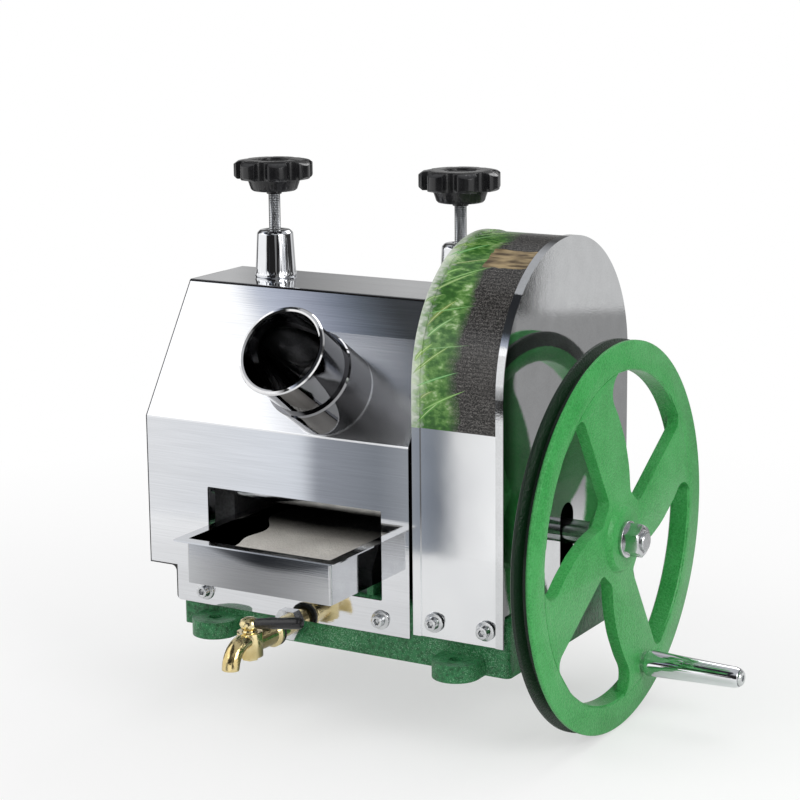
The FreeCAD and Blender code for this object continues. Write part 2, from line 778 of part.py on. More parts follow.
def arch_outline(radius, foot):
    """Arch-topped face in Y and Z, straight-sided down to foot."""
    y0 = gear_cover_middle_y - radius
    y1 = gear_cover_middle_y + radius
    arch = Part.Arc(Vec(0, y1, arch_centre_z), Vec(0, gear_cover_middle_y, arch_centre_z + radius),
                    Vec(0, y0, arch_centre_z)).toShape()
    left = Part.makeLine(Vec(0, y0, arch_centre_z), Vec(0, y0, foot))
    bottom = Part.makeLine(Vec(0, y0, foot), Vec(0, y1, foot))
    right = Part.makeLine(Vec(0, y1, foot), Vec(0, y1, arch_centre_z))
    return Part.Face(Part.Wire([arch, left, bottom, right]))


def arch_solid(radius, foot, x0, x1):
    solid = arch_outline(radius, foot).extrude(LEFT_TO_RIGHT * (x1 - x0))
    solid.translate(Vec(x0, 0, 0))
    return solid


def gear_cover_band():
    left = gear_cover_left + sheet
    right = gear_cover_right - sheet
    body = arch_solid(arch_radius - cap_sheet, base_height, left, right)
    body = body.cut(arch_solid(arch_radius - cap_sheet - sheet, base_height - 1, left - 1, right + 1))
    front = gear_cover_front + cap_sheet
    skirt = rectangle(left, right, gear_skirt_z, base_height + 10, 0)
    body = body.fuse(y_plate(skirt, front, front + sheet))
    for x, z in gear_screw_places():
        body = body.cut(slotted_hole(x, z, front - 1, front + sheet + 1))
    return body


def gear_cover_cap(panel_x0, flange_x0, flange_x1):
    """Side panel whose edge is folded over the outside of the band."""
    body = arch_solid(arch_radius, base_height, flange_x0, flange_x1)
    body = body.cut(arch_solid(arch_radius - cap_sheet, base_height - 1, flange_x0 - 1, flange_x1 + 1))
    front = gear_cover_front
    body = body.fuse(block(flange_x0, flange_x1, front, front + cap_sheet, gear_skirt_z, base_height + 10))
    panel = arch_solid(arch_radius, base_height, panel_x0, panel_x0 + sheet)
    return body.fuse(panel)


def gear_cover_side():
    panel_x0 = gear_cover_right - sheet
    body = gear_cover_cap(panel_x0, gear_cover_right - cap_flange, gear_cover_right)
    keyhole_half = shaft_radius + 2
    keyhole_z = shaft_z + 11.4
    slot = x_rod(keyhole_half, panel_x0 - 1, gear_cover_right + 1, shaft_y, keyhole_z)
    slot = slot.fuse(block(panel_x0 - 1, gear_cover_right + 1, shaft_y - keyhole_half, shaft_y + keyhole_half,
                           base_height - 1, keyhole_z))
    return body.cut(slot)


def gear_backplate():
    body = gear_cover_cap(gear_cover_left, gear_cover_left, gear_cover_left + cap_flange)
    x0 = gear_cover_left - 1
    x1 = gear_cover_left + sheet + 1
    half = housing_radius + 1.5
    body = body.cut(x_rod(half, x0, x1, shaft_y, shaft_z))
    body = body.cut(block(x0, x1, shaft_y - half, shaft_y + half, base_height - 1, shaft_z))
    hub_hole = mill_hub_radius + 2
    for y in (front_roller_y, rear_roller_y):
        body = body.cut(x_rod(hub_hole, x0, x1, y, lower_roller_z))
    body = body.cut(x_rod(hub_hole, x0, x1, top_roller_y, top_roller_z))
    body = body.cut(x_rod(hub_hole, x0, x1, top_roller_y, top_roller_z + roller_lift))
    return body


def fluted_roller(y, z, turn):
    """Roller body with straight V flutes along it."""
    edges = []
    half = math.asin(flute_width / 2 / roller_radius)
    step = 2 * math.pi / flute_count

    def at(radius, angle):
        return Vec(roller_left, y + radius * math.cos(angle), z + radius * math.sin(angle))

    for i in range(flute_count):
        middle = math.radians(turn) + i * step
        edges.append(Part.makeLine(at(roller_radius, middle - half), at(roller_radius - flute_depth, middle)))
        edges.append(Part.makeLine(at(roller_radius - flute_depth, middle), at(roller_radius, middle + half)))
        edges.append(Part.Arc(at(roller_radius, middle + half), at(roller_radius, middle + step / 2),
                              at(roller_radius, middle + step - half)).toShape())
    face = Part.Face(Part.Wire(edges))
    return face.extrude(LEFT_TO_RIGHT * (roller_right - roller_left))


def roller(y, z, turn, right_end):
    """Fluted roller with its journals, its gear seat and the keyway in that seat."""
    hub_left = mill_gear_left - mill_hub_proud
    body = fluted_roller(y, z, turn)
    body = body.fuse(x_rod(journal_radius, cheek_outer_left - 8, hub_left, y, z))
    body = body.fuse(x_rod(gear_seat_radius, hub_left, right_end, y, z))
    return body.cut(key_bar(mill_gear_left, mill_gear_right, y, z, gear_seat_radius))


def key_bar(x0, x1, y, z, seat_radius):
    """Parallel key, half in the shaft and half in the hub."""
    z0 = z + seat_radius - key_height / 2
    return block(x0, x1, y - key_width / 2, y + key_width / 2, z0, z0 + key_height)


def mill_gear(y, z, angle):
    """Coupling gear of a roller, keyed on its shaft, with a hub that reaches the journal's shoulder."""
    body = involute_gear(mill_teeth, mill_module, mill_backlash, mill_gear_left, mill_gear_right,
                         y, z, angle, 3)
    body = body.fuse(x_rod(mill_hub_radius, mill_gear_left - mill_hub_proud, mill_gear_left, y, z))
    body = body.cut(x_rod(gear_seat_radius, mill_gear_left - mill_hub_proud - 1, mill_gear_right + 1, y, z))
    return body.cut(key_bar(mill_gear_left, mill_gear_right, y, z, gear_seat_radius))


def retaining_nut(x, y, z, height):
    body = hexagon(gear_nut_flats, height, Vec(x, y, z), LEFT_TO_RIGHT)
    return body.cut(x_rod(gear_seat_radius, x - 1, x + height + 1, y, z))


def top_drive_gear(angle):
    y = top_roller_y
    z = top_roller_z
    body = involute_gear(wheel_gear_teeth, drive_module, drive_backlash, drive_gear_left, drive_gear_right,
                         y, z, angle, 2)
    body = body.fuse(x_rod(drive_hub_radius, mill_gear_right, drive_gear_right + drive_hub_proud, y, z))
    recess_outer = wheel_gear_teeth * drive_module / 2 - 14
    recess = x_ring(recess_outer, drive_hub_radius + 6, drive_gear_right - 6, drive_gear_right + 1, y, z)
    body = body.cut(recess)
    for i in range(6):
        turn = math.radians(30 + 60 * i)
        hole_y = y + drive_hole_circle * math.cos(turn)
        hole_z = z + drive_hole_circle * math.sin(turn)
        body = body.cut(x_rod(drive_hole_radius, drive_gear_left - 1, drive_gear_right + 1, hole_y, hole_z))
    body = body.cut(x_rod(gear_seat_radius, mill_gear_right - 1, drive_gear_right + 6, y, z))
    return body.cut(key_bar(drive_gear_left, drive_gear_right, y, z, gear_seat_radius))


def drive_pinion(angle):
    body = involute_gear(pinion_teeth, drive_module, drive_backlash, drive_gear_left, drive_gear_right,
                         shaft_y, shaft_z, angle, 3)
    boss_end = drive_gear_right + pinion_boss_proud
    body = body.fuse(x_rod(pinion_boss_radius, drive_gear_right, boss_end, shaft_y, shaft_z))
    body = body.fuse(x_rod(pinion_spacer_radius, housing_right + flat_gap, drive_gear_left, shaft_y, shaft_z))
    return body.cut(x_rod(shaft_radius, housing_right - 1, boss_end + 1, shaft_y, shaft_z))


def crank_shaft():
    body = x_rod(shaft_radius, cheek_inner_right + 1, wheel_hub_right - 1, shaft_y, shaft_z)
    end = wheel_hub_right + washer_thickness + nut_height + stud_showing
    reach = end - wheel_hub_right
    profile = [(0, 0), (0, stud_radius), (reach, stud_radius), (reach + 1, stud_radius - 1), (reach + 1, 0)]
    stud = turned(profile, Vec(wheel_hub_right - 1, shaft_y, shaft_z), LEFT_TO_RIGHT)
    body = body.fuse(stud)
    collar_left = drive_gear_right + pinion_boss_proud
    body = body.fuse(x_rod(shaft_collar_radius, collar_left, collar_left + shaft_collar, shaft_y, shaft_z))
    return body.cut(key_bar(wheel_hub_left, wheel_hub_right - 2, shaft_y, shaft_z, shaft_radius))


def wheel_gap(k):
    """Opening between two curved spokes of the handwheel."""
    start = first_spoke + 90 * k

    def at(radius, degrees):
        turn = math.radians(start + degrees)
        return (shaft_y + radius * math.cos(turn), shaft_z + radius * math.sin(turn))

    corners = []
    for share, degrees, rounding in spoke_flank:
        corners.append((*at(rim_inner * share, degrees), rim_inner * rounding))
    for i in range(5):
        corners.append((*at(rim_inner + rim_fillet, 75 - 11.5 * i), rim_inner / 2))
    corners.append((*at(rim_inner + rim_fillet, 12.5), 10))
    return x_plate(corners, wheel_hub_left - 1, wheel_hub_right + 1)


def handwheel():
    """Cast handwheel: rim with a belt groove, four curved spokes cut from the web, and a raised hub."""
    radius = wheel_radius
    groove_middle = rim_left + rim_width / 2
    web = turned([(web_left, 0), (web_left, rim_inner + 1), (wheel_face, rim_inner + 1), (wheel_face, 0)],
                 Vec(0, shaft_y, shaft_z), LEFT_TO_RIGHT)
    rim_points = [(rim_left + 1.5, rim_inner), (rim_left, rim_inner + 2), (rim_left, radius - 1.5),
                  (rim_left + 1, radius), (groove_middle - belt_groove_mouth / 2, radius),
                  (groove_middle - belt_groove_floor / 2, radius - belt_groove_depth),
                  (groove_middle + belt_groove_floor / 2, radius - belt_groove_depth),
                  (groove_middle + belt_groove_mouth / 2, radius), (wheel_face - 1, radius),
                  (wheel_face, radius - 1.5), (wheel_face, rim_inner + 1.5), (wheel_face - 1.5, rim_inner)]
    rim = turned(rim_points, Vec(0, shaft_y, shaft_z), LEFT_TO_RIGHT)
    body = web
    for k in range(spoke_count):
        body = body.cut(wheel_gap(k))
    hub = turned([(wheel_hub_left, 0), (wheel_hub_left, 22.5), (wheel_hub_left + 1.5, 24), (web_left, 25.5),
                  (wheel_face, 28.5), (wheel_hub_right - 1.2, hub_radius), (wheel_hub_right, hub_radius - 1.5),
                  (wheel_hub_right, 0)], Vec(0, shaft_y, shaft_z), LEFT_TO_RIGHT)
    seat = x_rod(11, web_left - 1.2, wheel_face, handle_y, handle_z)
    body = body.fuse(rim).fuse(hub).fuse(seat)
    body = body.cut(x_rod(shaft_radius, wheel_hub_left - 1, wheel_hub_right + 1, shaft_y, shaft_z))
    body = body.cut(key_bar(wheel_hub_left, wheel_hub_right - 2, shaft_y, shaft_z, shaft_radius))
    body = body.cut(x_rod(handle_shank_radius, web_left - 2, wheel_face + 1, handle_y, handle_z))
    return body


def wheel_washer():
    right = wheel_hub_right + washer_thickness
    return x_ring(washer_radius, stud_radius, wheel_hub_right, right, shaft_y, shaft_z)


def wheel_nut():
    x0 = wheel_hub_right + washer_thickness
    nut = hexagon(nut_flats, nut_height, Vec(x0, shaft_y, shaft_z), LEFT_TO_RIGHT)
    corner = nut_flats / math.sqrt(3)
    chamfer = turned([(0, 0), (0, corner + 0.1), (nut_height - 2, corner + 0.1), (nut_height, nut_flats / 2 - 0.6),
                      (nut_height, 0)], Vec(x0, shaft_y, shaft_z), LEFT_TO_RIGHT)
    return nut.common(chamfer).cut(x_rod(stud_radius, x0 - 1, x0 + nut_height + 1, shaft_y, shaft_z))


def handle_pin():
    """Riveted crank pin with a shoulder at the wheel and a screwed end that keeps the grip on."""
    tip = wheel_face + handle_gap + handle_length
    profile = [(web_left - 5.2, 0), (web_left - 5.2, 5), (web_left - 3.5, 7.5), (web_left - 1.2, 7.5),
               (web_left - 1.2, handle_shank_radius), (wheel_face, handle_shank_radius),
               (wheel_face, handle_shoulder), (wheel_face + handle_gap - flat_gap, handle_shoulder),
               (wheel_face + handle_gap - flat_gap, handle_pin_radius), (tip - 1.7, handle_pin_radius),
               (tip - 1.7, handle_head), (tip + 1.3, handle_head), (tip + 2.3, handle_head - 1), (tip + 2.3, 0)]
    return turned(profile, Vec(0, handle_y, handle_z), LEFT_TO_RIGHT).cut(
        hexagon(5, 2, Vec(tip + 0.4, handle_y, handle_z), LEFT_TO_RIGHT))


def grip_sleeve():
    start = wheel_face + handle_gap
    profile = [(start, handle_pin_radius + running_clearance), (start, handle_root_radius - 1),
               (start + 1, handle_root_radius), (start + 4, handle_root_radius),
               (start + handle_length - 4, handle_tip_radius), (start + handle_length, handle_tip_radius - 1),
               (start + handle_length, handle_head + flat_gap),
               (start + handle_length - 2, handle_head + flat_gap),
               (start + handle_length - 2, handle_pin_radius + running_clearance)]
    return turned(profile, Vec(0, handle_y, handle_z), LEFT_TO_RIGHT)


def top_block(middle_x, outer_side):
    """Sliding bearing block with a keeper plate on its outer face."""
    half = slot_half_width - flat_gap
    x0 = middle_x - cheek_thickness / 2
    x1 = middle_x + cheek_thickness / 2
    y = top_roller_y
    body = x_plate(rectangle(y - half, y + half, block_bottom, block_top, 2), x0, x1)
    reach = flat_gap + keeper_plate
    keep0, keep1 = (x0 - reach, x0 - flat_gap) if outer_side < 0 else (x1 + flat_gap, x1 + reach)
    keeper = x_plate(rectangle(y - half - 6, y + half + 6, block_bottom + 4, block_top, 3), keep0, keep1)
    neck = x_plate(rectangle(y - half, y + half, block_bottom + 4, block_top, 2), min(x0, keep0), max(x1, keep1))
    body = body.fuse(keeper).fuse(neck)
    body = body.cut(x_rod(bush_radius, x0 - 6, x1 + 6, y, top_roller_z))
    socket = z_rod(screw_radius + running_clearance, block_top - 5, block_top + 1, middle_x, y)
    return body.cut(socket)


def top_bushes():
    bore = x_rod(journal_radius + running_clearance, cheek_outer_left - 9, cheek_outer_right + 9, top_roller_y,
                 top_roller_z)
    reach = flat_gap + keeper_plate
    left = x_rod(bush_radius, cheek_outer_left - reach, cheek_inner_left, top_roller_y, top_roller_z)
    right = x_rod(bush_radius, cheek_inner_right, cheek_outer_right + reach, top_roller_y, top_roller_z)
    return Part.makeCompound([left.cut(bore), right.cut(bore)])


def press_screw(x):
    """Screw that presses a bearing block down; its point turns in the block's socket."""
    foot = block_top - 4.7
    height = knob_bottom + knob_hub + 6 - foot
    profile = [(0, 0), (0, screw_radius - 1), (1, screw_radius), (height - 1, screw_radius),
               (height, screw_radius - 1), (height, 0)]
    return turned(profile, Vec(x, top_roller_y, foot), UPWARD)


def screw_boss(x):
    height = boss_height
    bore = screw_radius + free_gap
    profile = [(0, bore), (0, boss_foot_radius), (3, boss_foot_radius), (4, boss_foot_radius - 0.6),
               (height - 2.5, boss_top_radius), (height, boss_top_radius - 2.5), (height, bore)]
    return turned(profile, Vec(x, top_roller_y, cover_top_z), UPWARD)


def star_knob(x):
    """Moulded star knob: a lobed disc on a tapered hub, with a metal collar below."""
    disc_bottom = knob_bottom + knob_hub
    top = disc_bottom + knob_disc
    step = 2 * math.pi / knob_lobes
    valley = knob_radius - 9
    lobe = math.radians(15)
    edges = []

    def at(radius, angle):
        return Vec(x + radius * math.cos(angle), top_roller_y + radius * math.sin(angle), disc_bottom)

    for i in range(knob_lobes):
        middle = i * step
        edges.append(Part.Arc(at(knob_radius - 2.2, middle - lobe), at(knob_radius, middle),
                              at(knob_radius - 2.2, middle + lobe)).toShape())
        edges.append(Part.Arc(at(knob_radius - 2.2, middle + lobe), at(valley, middle + step / 2),
                              at(knob_radius - 2.2, middle + step - lobe)).toShape())
    disc = Part.Face(Part.Wire(edges)).extrude(UPWARD * knob_disc)
    crown = turned([(0, 0), (0, knob_radius - 3), (2.5, knob_radius + 0.1), (knob_disc - 3.5, knob_radius + 0.1),
                    (knob_disc - 0.8, knob_radius - 3.5), (knob_disc, knob_radius - 8), (knob_disc, 0)],
                   Vec(x, top_roller_y, disc_bottom), UPWARD)
    hub = turned([(0, 0), (0, 6.5), (3, 6.5), (3, knob_hub_foot - 1.5), (4.5, knob_hub_foot),
                  (knob_hub, knob_hub_top), (knob_hub + 1, knob_hub_top), (knob_hub + 1, 0)],
                 Vec(x, top_roller_y, knob_bottom), UPWARD)
    dish = Part.makeCylinder(13, 1.2, Vec(x, top_roller_y, top - 1.2))
    body = disc.common(crown).fuse(hub).cut(dish)
    return body.cut(z_rod(screw_radius, knob_bottom - 1, disc_bottom + 6, x, top_roller_y))


def feed_sleeve():
    """Socket welded on the slope, its foot cut flush with the sheet and its mouth rolled."""
    start = Vec(feed_x, feed_y, feed_z)
    profile = [(0, tube_radius + 0.2), (0, sleeve_radius), (sleeve_length - 2, sleeve_radius),
               (sleeve_length, sleeve_radius - 1), (sleeve_length, tube_radius + 0.2)]
    return turned(profile, start, feed_out)


def feed_tube():
    """Feed tube with a rolled bead at its mouth and a bead where it meets the sleeve."""
    start = Vec(feed_x, feed_y, feed_z) - feed_out * tube_inside
    length = tube_length + tube_inside
    inner = tube_radius - tube_wall
    rest = sleeve_length + tube_inside
    profile = [(0, inner), (0, tube_radius - 0.2), (tube_inside, tube_radius - 0.2),
               (tube_inside, tube_radius + 0.2), (rest, tube_radius + 0.2), (rest, tube_radius),
               (length - 2 * tube_bead, tube_radius), (length - 1.6 * tube_bead, tube_radius + 0.8 * tube_bead),
               (length - tube_bead, tube_radius + 1.4 * tube_bead),
               (length - 0.3 * tube_bead, tube_radius + tube_bead), (length, tube_radius),
               (length - 0.5 * tube_bead, inner)]
    return turned(profile, start, feed_out)


def juice_tray():
    left = tray_left
    right = tray_right
    front = tray_front + tray_flange
    back = tray_front + tray_depth - tray_flange
    outer = z_plate(rectangle(left, right, front, back, 2), tray_bottom, tray_rim)
    rim = z_plate(rectangle(left - tray_flange, right + tray_flange, tray_front, tray_front + tray_depth, 1),
                  tray_rim - tray_sheet, tray_rim)
    wall = tray_sheet
    inner = z_plate(rectangle(left + wall, right - wall, front + wall, back - wall, 1),
                    tray_floor_z, tray_rim + 1)
    body = outer.fuse(rim).cut(inner)
    for i in range(drain_count):
        x = left + (right - left) * (i + 1) / (drain_count + 1)
        drain = z_plate(rectangle(x - 4, x + 4, back - 60, back - 20, 3.9), tray_bottom - 1, tray_floor_z + 1)
        body = body.cut(drain)
    return body


def strainer_screen():
    """Strainer plate folded down along both sides, standing on the tray's floor."""
    left = tray_left + tray_sheet + 2
    right = tray_right - tray_sheet - 2
    front = tray_front + tray_flange + tray_sheet + 2
    back = tray_front + tray_depth - tray_flange - tray_sheet - 2
    top = tray_rim - screen_below_rim
    body = z_plate(rectangle(left, right, front, back, 5), tray_floor_z, top)
    tunnel = block(left + tray_sheet, right - tray_sheet, front - 1, back + 1, tray_floor_z - 1, top - tray_sheet)
    return body.cut(tunnel)


def juice_pan():
    """Pressed pan hung in the base's deck, its floor falling to the outlet at the front."""
    left = pan_left + pan_clear
    right = pan_right - pan_clear
    front = pan_front + pan_clear
    back = pan_back - pan_clear
    side = [(front, pan_floor, 3), (front, base_height + pan_sheet, 0), (back, base_height + pan_sheet, 0),
            (back, pan_floor + pan_fall, 6)]
    body = x_plate(side, left, right)
    rim = rectangle(pan_left - pan_lip, pan_right + pan_lip, pan_front - pan_lip, pan_back + pan_lip, 4)
    lip = z_plate(rim, base_height, base_height + pan_sheet)
    inside = [(front + pan_sheet, pan_floor + pan_sheet, 2), (front + pan_sheet, base_height + 3, 0),
              (back - pan_sheet, base_height + 3, 0), (back - pan_sheet, pan_floor + pan_sheet + pan_fall, 5)]
    body = body.fuse(lip).cut(x_plate(inside, left + pan_sheet, right - pan_sheet))
    return body.cut(y_rod(outlet_radius, front - 1, front + pan_sheet + 3, tap_x, outlet_z))


def outlet_pipe():
    """Brass pipe from the pan through the base's front wall, with a collar inside the wall."""
    pan_wall = pan_front + pan_clear
    pipe = y_rod(outlet_radius, gasket_front, pan_wall + pan_sheet + 2, tap_x, outlet_z)
    inner_wall = base_front + base_wall
    nut = hexagon(26, 7, Vec(tap_x, inner_wall, outlet_z), FRONT_TO_BACK)
    bore = y_rod(outlet_radius - outlet_wall, gasket_front - 1, pan_wall + pan_sheet + 3, tap_x, outlet_z)
    return pipe.fuse(nut).cut(bore)


def outlet_locknut():
    nut = hexagon(24, 5, Vec(tap_x, cover_front - 5, outlet_z), FRONT_TO_BACK)
    return nut.cut(y_rod(outlet_radius, cover_front - 6, cover_front + 1, tap_x, outlet_z))


def tap_gasket():
    back = gasket_front
    ring = y_rod(gasket_radius, back - gasket_thickness, back, tap_x, outlet_z)
    bore = outlet_radius - outlet_wall
    return ring.cut(y_rod(bore, back - gasket_thickness - 1, back + 1, tap_x, outlet_z))


def tap_body():
    """Cast bib tap: a flanged inlet, a round barrel for the plug and a spout that turns down."""
    seat = gasket_front - gasket_thickness
    reach = seat - plug_y
    profile = [(0, 0), (0, gasket_radius), (2.5, gasket_radius), (5, outlet_radius + 1), (reach, outlet_radius),
               (reach, 0)]
    inlet = turned(profile, Vec(tap_x, seat, outlet_z), FRONT_TO_BACK * -1)
    barrel = z_rod(barrel_radius, outlet_z - barrel_half, outlet_z + barrel_half, tap_x, plug_y)
    start = Vec(tap_x, plug_y, outlet_z + 1)
    knee = Vec(tap_x, spout_y + 5.5, outlet_z - 1.5)
    end = Vec(tap_x, spout_y, spout_end_z)
    path = Part.Wire([Part.Arc(start, knee, end).toShape()])
    outside = Part.Wire([Part.makeCircle(spout_radius, start, FRONT_TO_BACK)])
    inside = Part.Wire([Part.makeCircle(spout_radius - 2, start, FRONT_TO_BACK)])
    spout = path.makePipeShell([outside], True, True)
    bore = path.makePipeShell([inside], True, True)
    body = inlet.fuse(barrel).fuse(spout)
    body = body.cut(bore)
    body = body.cut(y_rod(outlet_radius - 3, plug_y, seat + 1, tap_x, outlet_z))
    body = body.cut(z_rod(plug_radius, outlet_z - barrel_half - 1, outlet_z + barrel_half + 1, tap_x, plug_y))
    return body.common(block(tap_x - 30, tap_x + 30, spout_y - 30, seat + 1, spout_end_z, 60))


def tap_plug():
    """Turning plug with a cross bore, a round head above and the tail that its nut holds."""
    radius = plug_radius - running_clearance
    half = barrel_half + flat_gap
    low = outlet_z - half - 1.9
    profile = [(low, 0), (low, 4), (outlet_z - half, 4), (outlet_z - half, radius), (outlet_z + half, radius),
               (outlet_z + half, 6.2), (plug_top + 1, 5.4), (plug_top + 3, 7.2), (plug_top + 6, 8.2),
               (plug_top + 9, 7.2), (plug_top + 11, 4), (plug_top + 11.5, 0)]
    plug = turned(profile, Vec(tap_x, plug_y, 0), UPWARD)
    plug = plug.cut(x_rod(outlet_radius - 3.5, tap_x - 12, tap_x + 12, plug_y, outlet_z))
    return plug.cut(tap_lever())


def tap_bottom_nut():
    low = outlet_z - barrel_half - flat_gap - 2.9
    nut = hexagon(12, 2.6, Vec(tap_x, plug_y, low), UPWARD)
    return nut.cut(z_rod(4, low + 1, low + 4, tap_x, plug_y))


def tap_lever():
    """Dipped lever screwed into the side of the plug's head."""
    tilt = math.radians(lever_tilt)
    along = Vec(math.cos(tilt), 0, math.sin(tilt))
    start = Vec(tap_x, plug_y, plug_top + 6) + along * 6.5
    profile = [(0, 0), (0, 3.6), (1, 4.4), (lever_length - 2, 4.8), (lever_length, 3.8), (lever_length, 0)]
    lever = turned(profile, start, along)
    return lever


def guide_plate(points):
    """Bent sheet between the cheeks, from a line of Y and Z points."""
    lower = [(y, z - guide_sheet, 0) for y, z in reversed(points)]
    upper = [(y, z, 0) for y, z in points]
    return x_plate(upper + lower, cheek_inner_left, cheek_inner_right)


def front_guide():
    edge_y = front_roller_y - guide_reach
    edge_z = lower_roller_z + guide_rise
    foot_drop, bend_drop = front_guide_drops
    return guide_plate([(cheek_front - front_guide_past_cheek, edge_z - foot_drop),
                        (edge_y - front_guide_run, edge_z - bend_drop), (edge_y, edge_z)])


def rear_guide():
    edge_y = rear_roller_y + guide_reach
    edge_z = lower_roller_z + guide_rise
    end_y = cover_back - rear_guide_back_gap
    bend_rise, end_rise = rear_guide_rises
    return guide_plate([(edge_y, edge_z), ((edge_y + end_y) / 2, edge_z + bend_rise), (end_y, edge_z + end_rise)])


def turn_plate():
    """Cast turn plate that carries the crushed cane over from the front nip to the rear one."""
    y = top_roller_y
    reach = roller_radius + turn_plate_clear
    top_reach = roller_radius + turn_plate_bow
    away = (roller_centres ** 2 + top_reach ** 2 - reach ** 2) / 2 / roller_centres
    side = math.sqrt(top_reach ** 2 - away ** 2)
    down_y = roller_spread / roller_centres
    down_z = (top_roller_z - lower_roller_z) / roller_centres
    tip_y = away * down_y - side * down_z
    tip_z = top_roller_z - away * down_z - side * down_y
    stem = roller_spread - reach
    foot_z = tie_bar_places()[1][1] + tie_bar_radius * 0.4
    x0 = cheek_inner_left + flat_gap

    def at(offset, height):
        return Vec(x0, y + offset, height)

    crown = Part.Arc(at(-tip_y, tip_z), at(0, top_roller_z - top_reach), at(tip_y, tip_z)).toShape()
    half_angle = math.atan2(tip_z - lower_roller_z, roller_spread - tip_y) / 2
    bow_y = roller_spread - reach * math.cos(half_angle)
    bow_z = lower_roller_z + reach * math.sin(half_angle)
    edges = [crown,
             Part.Arc(at(tip_y, tip_z), at(bow_y, bow_z), at(stem, lower_roller_z)).toShape(),
             Part.makeLine(at(stem, lower_roller_z), at(stem, foot_z)),
             Part.makeLine(at(stem, foot_z), at(-stem, foot_z)),
             Part.makeLine(at(-stem, foot_z), at(-stem, lower_roller_z)),
             Part.Arc(at(-stem, lower_roller_z), at(-bow_y, bow_z), at(-tip_y, tip_z)).toShape()]
    width = cheek_inner_right - cheek_inner_left - 2 * flat_gap
    body = Part.Face(Part.Wire(edges)).extrude(LEFT_TO_RIGHT * width)
    bar_y, bar_z = tie_bar_places()[1]
    return body.cut(x_rod(tie_bar_radius, cheek_inner_left, cheek_inner_right, bar_y, bar_z))


def gear_directions():
    """Tooth directions of the pinion, the drive gear and the three roller gears, so that all mesh."""
    crank_at = (shaft_y, shaft_z)
    top_at = (top_roller_y, top_roller_z)
    front_at = (front_roller_y, lower_roller_z)
    rear_at = (rear_roller_y, lower_roller_z)
    pinion = 0.0
    drive = meshing_angle(pinion, pinion_teeth, wheel_gear_teeth, crank_at, top_at)
    top = 90.0
    front = meshing_angle(top, mill_teeth, mill_teeth, top_at, front_at)
    rear = meshing_angle(top, mill_teeth, mill_teeth, top_at, rear_at)
    return pinion, drive, top, front, rear


def build():
    pinion, drive, top, front, rear = gear_directions()
    lower_end = mill_gear_right + lower_nut_height
    top_nut_left = drive_gear_right + drive_hub_proud
    top_end = top_nut_left + top_nut_height + 2
    front_at = (front_roller_y, lower_roller_z)
    rear_at = (rear_roller_y, lower_roller_z)
    top_at = (top_roller_y, top_roller_z)
    seat = gear_seat_radius
    nodes = {
        "base_casting": base_casting(),
        "left_cheek": cheek(left_cheek_x, -1, False),
        "right_cheek": cheek(right_cheek_x, 1, True),
        "cheek_caps": Part.makeCompound([cheek_cap(left_cheek_x), cheek_cap(right_cheek_x)]),
        "cheek_bolts": Part.makeCompound(cap_bolts() + cheek_bolts() + housing_bolts()),
        "cheek_tie_bars": cheek_tie_bars(),
        "lower_bushes": lower_bushes(),
        "shaft_housing": shaft_housing(),
        "shaft_bushes": shaft_bushes(),
        "main_cover": main_cover(),
        "main_cover_screws": main_cover_screws(),
        "gear_backplate": gear_backplate(),
        "gear_cover_band": gear_cover_band(),
        "gear_cover_side": gear_cover_side(),
        "gear_cover_screws": gear_cover_screws(),
        "left_screw_boss": screw_boss(left_cheek_x),
        "right_screw_boss": screw_boss(right_cheek_x),
        "feed_sleeve": feed_sleeve(),
        "feed_tube": feed_tube(),
        "front_guide": front_guide(),
        "rear_guide": rear_guide(),
        "turn_plate": turn_plate(),
        "juice_pan": juice_pan(),
        "outlet_pipe": outlet_pipe(),
        "outlet_locknut": outlet_locknut(),
        "tap_gasket": tap_gasket(),
        "tap_body": tap_body(),
        "tap_plug": tap_plug(),
        "tap_bottom_nut": tap_bottom_nut(),
        "tap_lever": tap_lever(),
        "juice_tray": juice_tray(),
        "strainer_screen": strainer_screen(),
        "top_block_left": top_block(left_cheek_x, -1),
        "top_block_right": top_block(right_cheek_x, 1),
        "top_bushes": top_bushes(),
        "left_press_screw": press_screw(left_cheek_x),
        "right_press_screw": press_screw(right_cheek_x),
        "left_star_knob": star_knob(left_cheek_x),
        "right_star_knob": star_knob(right_cheek_x),
        "top_roller": roller(*top_at, 0, top_end).cut(key_bar(drive_gear_left, drive_gear_right, *top_at, seat)),
        "top_mill_gear": mill_gear(*top_at, top),
        "top_drive_gear": top_drive_gear(drive),
        "top_gear_keys": Part.makeCompound([key_bar(mill_gear_left, mill_gear_right, *top_at, seat),
                                            key_bar(drive_gear_left, drive_gear_right, *top_at, seat)]),
        "top_gear_nut": retaining_nut(top_nut_left, *top_at, top_nut_height),
        "front_roller": roller(*front_at, 7.5, lower_end),
        "front_mill_gear": mill_gear(*front_at, front),
        "front_gear_key": key_bar(mill_gear_left, mill_gear_right, *front_at, seat),
        "front_gear_nut": retaining_nut(mill_gear_right, *front_at, lower_nut_height),
        "rear_roller": roller(*rear_at, 7.5, lower_end),
        "rear_mill_gear": mill_gear(*rear_at, rear),
        "rear_gear_key": key_bar(mill_gear_left, mill_gear_right, *rear_at, seat),
        "rear_gear_nut": retaining_nut(mill_gear_right, *rear_at, lower_nut_height),
        "crank_shaft": crank_shaft(),
        "drive_pinion": drive_pinion(pinion),
        "handwheel": handwheel(),
        "wheel_key": key_bar(wheel_hub_left, wheel_hub_right - 2, shaft_y, shaft_z, shaft_radius),
        "wheel_washer": wheel_washer(),
        "wheel_nut": wheel_nut(),
        "handle_pin": handle_pin(),
        "grip_sleeve": grip_sleeve(),
    }
    for node, shape in nodes.items():
        save(shape, node)
    return nodes


os.makedirs("parts", exist_ok=True)
build()
